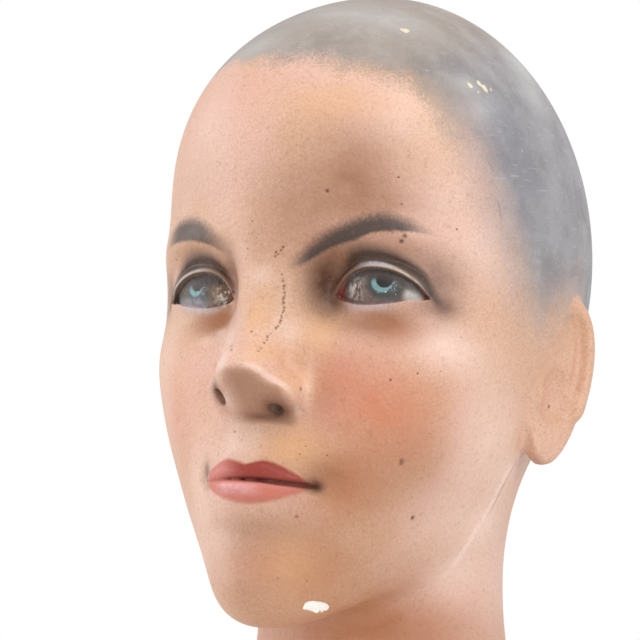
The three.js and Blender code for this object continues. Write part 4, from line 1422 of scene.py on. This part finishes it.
# A painted highlight on the lower lip, in lilac.
lilac_highlight = mix.band(left_mm, LILAC_ASIDE) * mix.band(parting, LILAC_BELOW)
lilac_highlight = lilac_highlight * mix.between(brushed, 0.3, 0.6, 0.4, 0.8)
upper_lip = mix.over(LIP_RED, (LIP_ROSE, rosy))
lower_lip = mix.over(
    LIP_CORAL,
    (LIP_LILAC, lilac_highlight),
    (LIP_ROSE, 0.4 * mix.between(streaks, 0.45, 0.65)),
)
line_width = mix.between(left_mm, -14.0, 12.0, 0.1, 0.9)
lip_line = mix.between(parting.size() - line_width, 0.7, -0.3)
lip_tone = mix.over(
    lower_lip,
    (upper_lip, mix.between(parting, -0.6, 0.3)),
    (LIP_DARK, lip_line * mix.between(left_mm, -14.0, 8.0, 0.3, 0.95)),
)
# Dark paint in the nostrils and the corners of the mouth, deepened into painted shade.
dark = mix.marked("dark")
colour = mix.over(colour, (lip_tone, lip_mask), (DARK_PAINT_AND_SHADE, dark))
print("lips painted")

# %% [markdown]
# ## Age
# The old paint is pricked with pinholes where air came out of the plaster, and a line of them
# runs down the nose. Flakes have come off in the hair and at the chin, down to the white plaster.

# %% Pinholes, flakes and scratches
PINHOLE_BROWN = linear(84, 48, 28)
DIRT = linear(146, 106, 80)
CREAM = linear(226, 214, 186)
PLASTER = linear(250, 248, 242)
SCRATCH_GREY = linear(196, 194, 190)
SCRATCH_STRETCH = (16, 16, 1)

in_skin = 1 - hair
pricks = mix.dots(8.0, 0.46, 0.34).larger(0.8 * mix.dots(3.6, 0.28, 0.22))
freckles = mix.between(mix.grain(2.2, 3, 0.6), 0.56, 0.74)
scratches = mix.between(mix.grain(0.5, 2, 0.5, SCRATCH_STRETCH), 0.64, 0.74)
worn_spots = mix.between(mix.grain(1.1, 3, 0.6), 0.68, 0.74)
flaked = mix.between(ragged(mix.marked("flakes"), speckle, 0.6), 0.36, 0.5)
chipped = mix.between(ragged(mix.marked("chip"), mix.grain(2.2, 3), 0.9), 0.4, 0.46)
colour = mix.over(
    colour,
    (PINHOLE_BROWN, 0.75 * pricks * in_skin),
    (DIRT, 0.26 * freckles * in_skin),
    (DIRT, 0.1 * droplets * in_skin),
    (SCRATCH_GREY, 0.4 * scratches * hair),
    (CREAM, 0.6 * worn_spots * hair),
    (PINHOLE_BROWN, 0.9 * mix.marked("pits")),
    (CREAM, flaked),
    (PLASTER, chipped),
)
print("wear painted")

# %% Gloss and fine relief
COAT = 0.1
COAT_ROUGHNESS = 0.3
SHINE = 0.32
RELIEF_MM = 1.1
RELIEF_STRENGTH = 0.55
CRACKLE_CELL = 4.5

gloss = 0.34 + 0.2 * mottle + 0.4 * chipped + 0.35 * dark + 0.35 * lip_line * lip_mask
crackle = mix.node("TexVoronoi", {"feature": "DISTANCE_TO_EDGE"},
                   {"Vector": mix.spot(CRACKLE_CELL, (1.6, 1, 1)), "Scale": 1.0})
crackled = mix.between(crackle, 0.0, 0.1) * mix.between(drift, 0.45, 0.6)
relief = 0.6 * mix.grain(1.6, 4, 0.6) + 1.1 * mix.grain(7, 2) + 0.05 * crackled - 0.7 * pricks
bump = mix.node("Bump", {}, {
    "Strength": RELIEF_STRENGTH, "Distance": RELIEF_MM * MM, "Height": relief}, output="Normal")
shader = mix.node("BsdfPrincipled", {}, {
    "Base Color": colour, "Roughness": gloss, "Normal": bump, "Coat Weight": COAT,
    "Coat Roughness": COAT_ROUGHNESS, "Specular IOR Level": SHINE,
})
mix.node("OutputMaterial", {}, {"Surface": shader})
print("the painted material has", len(mix.tree.nodes), "nodes")

# %% Bare plaster underneath
RAW_RELIEF_MM = 0.6

bare = bpy.data.materials.new("bare_plaster")
raw = Recipe(bare)
chalky = raw.over(linear(222, 214, 200), (linear(196, 184, 166), raw.grain(12, 4)))
rough = raw.node("Bump", {}, {
    "Strength": 0.4, "Distance": RAW_RELIEF_MM * MM, "Height": raw.grain(2, 5)}, output="Normal")
raw.node("OutputMaterial", {}, {"Surface": raw.node("BsdfPrincipled", {}, {
    "Base Color": chalky, "Roughness": 0.9, "Normal": rough})})
head_mesh.materials.append(paint)
head_mesh.materials.append(bare)
print("materials:", [material.name for material in head_mesh.materials])

# %% [markdown]
# ## Floor and light
# The head stands on a plain pale floor in a bright white room, as for a catalogue. The room's
# white lights it from all sides, and soft boxes from above and from the side give it form.

# %% Floor, room and lamps
FLOOR_RADIUS = 0.48
FLOOR_SIDES = 96
ROOM_SEEN = 1.0
ROOM_LIGHT = 0.78
# Each lamp: its name, where it is, what it lights, its width, all in metres, and its watts.
LAMPS = [
    ("key", (0.8, -0.45, 0.62), (0, -0.05, 0.23), 0.45, 3.2),
    ("top", (0.05, -0.3, 1.1), (0, -0.05, 0.25), 0.5, 2.0),
    ("far side", (-0.75, -0.35, 0.3), (0, -0.05, 0.2), 0.6, 2.4),
]


def softbox(name, stand, aim, size, watts):
    """A round lamp that faces what it lights."""
    lamp = bpy.data.lights.new(name, "AREA")
    lamp.shape = "DISK"
    lamp.size = size
    lamp.energy = watts
    holder = bpy.data.objects.new(name, lamp)
    holder.location = stand
    way = np.subtract(aim, stand)
    turn = math.atan2(way[1], way[0]) - math.pi / 2
    tip = math.atan2(way[2], math.hypot(way[0], way[1]))
    holder.rotation_euler = (math.pi / 2 + tip, 0, turn)
    bpy.context.collection.objects.link(holder)


bpy.ops.mesh.primitive_circle_add(vertices=FLOOR_SIDES, radius=FLOOR_RADIUS, fill_type="NGON")
floor = bpy.context.object
floor.name = "floor"
floor_paint = bpy.data.materials.new("pale_floor")
floor_mix = Recipe(floor_paint)
floor_mix.node("OutputMaterial", {}, {"Surface": floor_mix.node("BsdfPrincipled", {}, {
    "Base Color": linear(236, 234, 230), "Roughness": 0.8})})
floor.data.materials.append(floor_paint)

room = bpy.data.worlds.new("white_room")
bpy.context.scene.world = room
room_mix = Recipe(room)
seen = room_mix.node("LightPath", output="Is Camera Ray")
room_mix.node("OutputWorld", {}, {"Surface": room_mix.node("Background", {}, {
    "Color": (1, 1, 1, 1), "Strength": ROOM_LIGHT + (ROOM_SEEN - ROOM_LIGHT) * seen})})
for lamp in LAMPS:
    softbox(*lamp)
bpy.context.scene.view_settings.view_transform = "Standard"
print(len(LAMPS), "lamps lit")
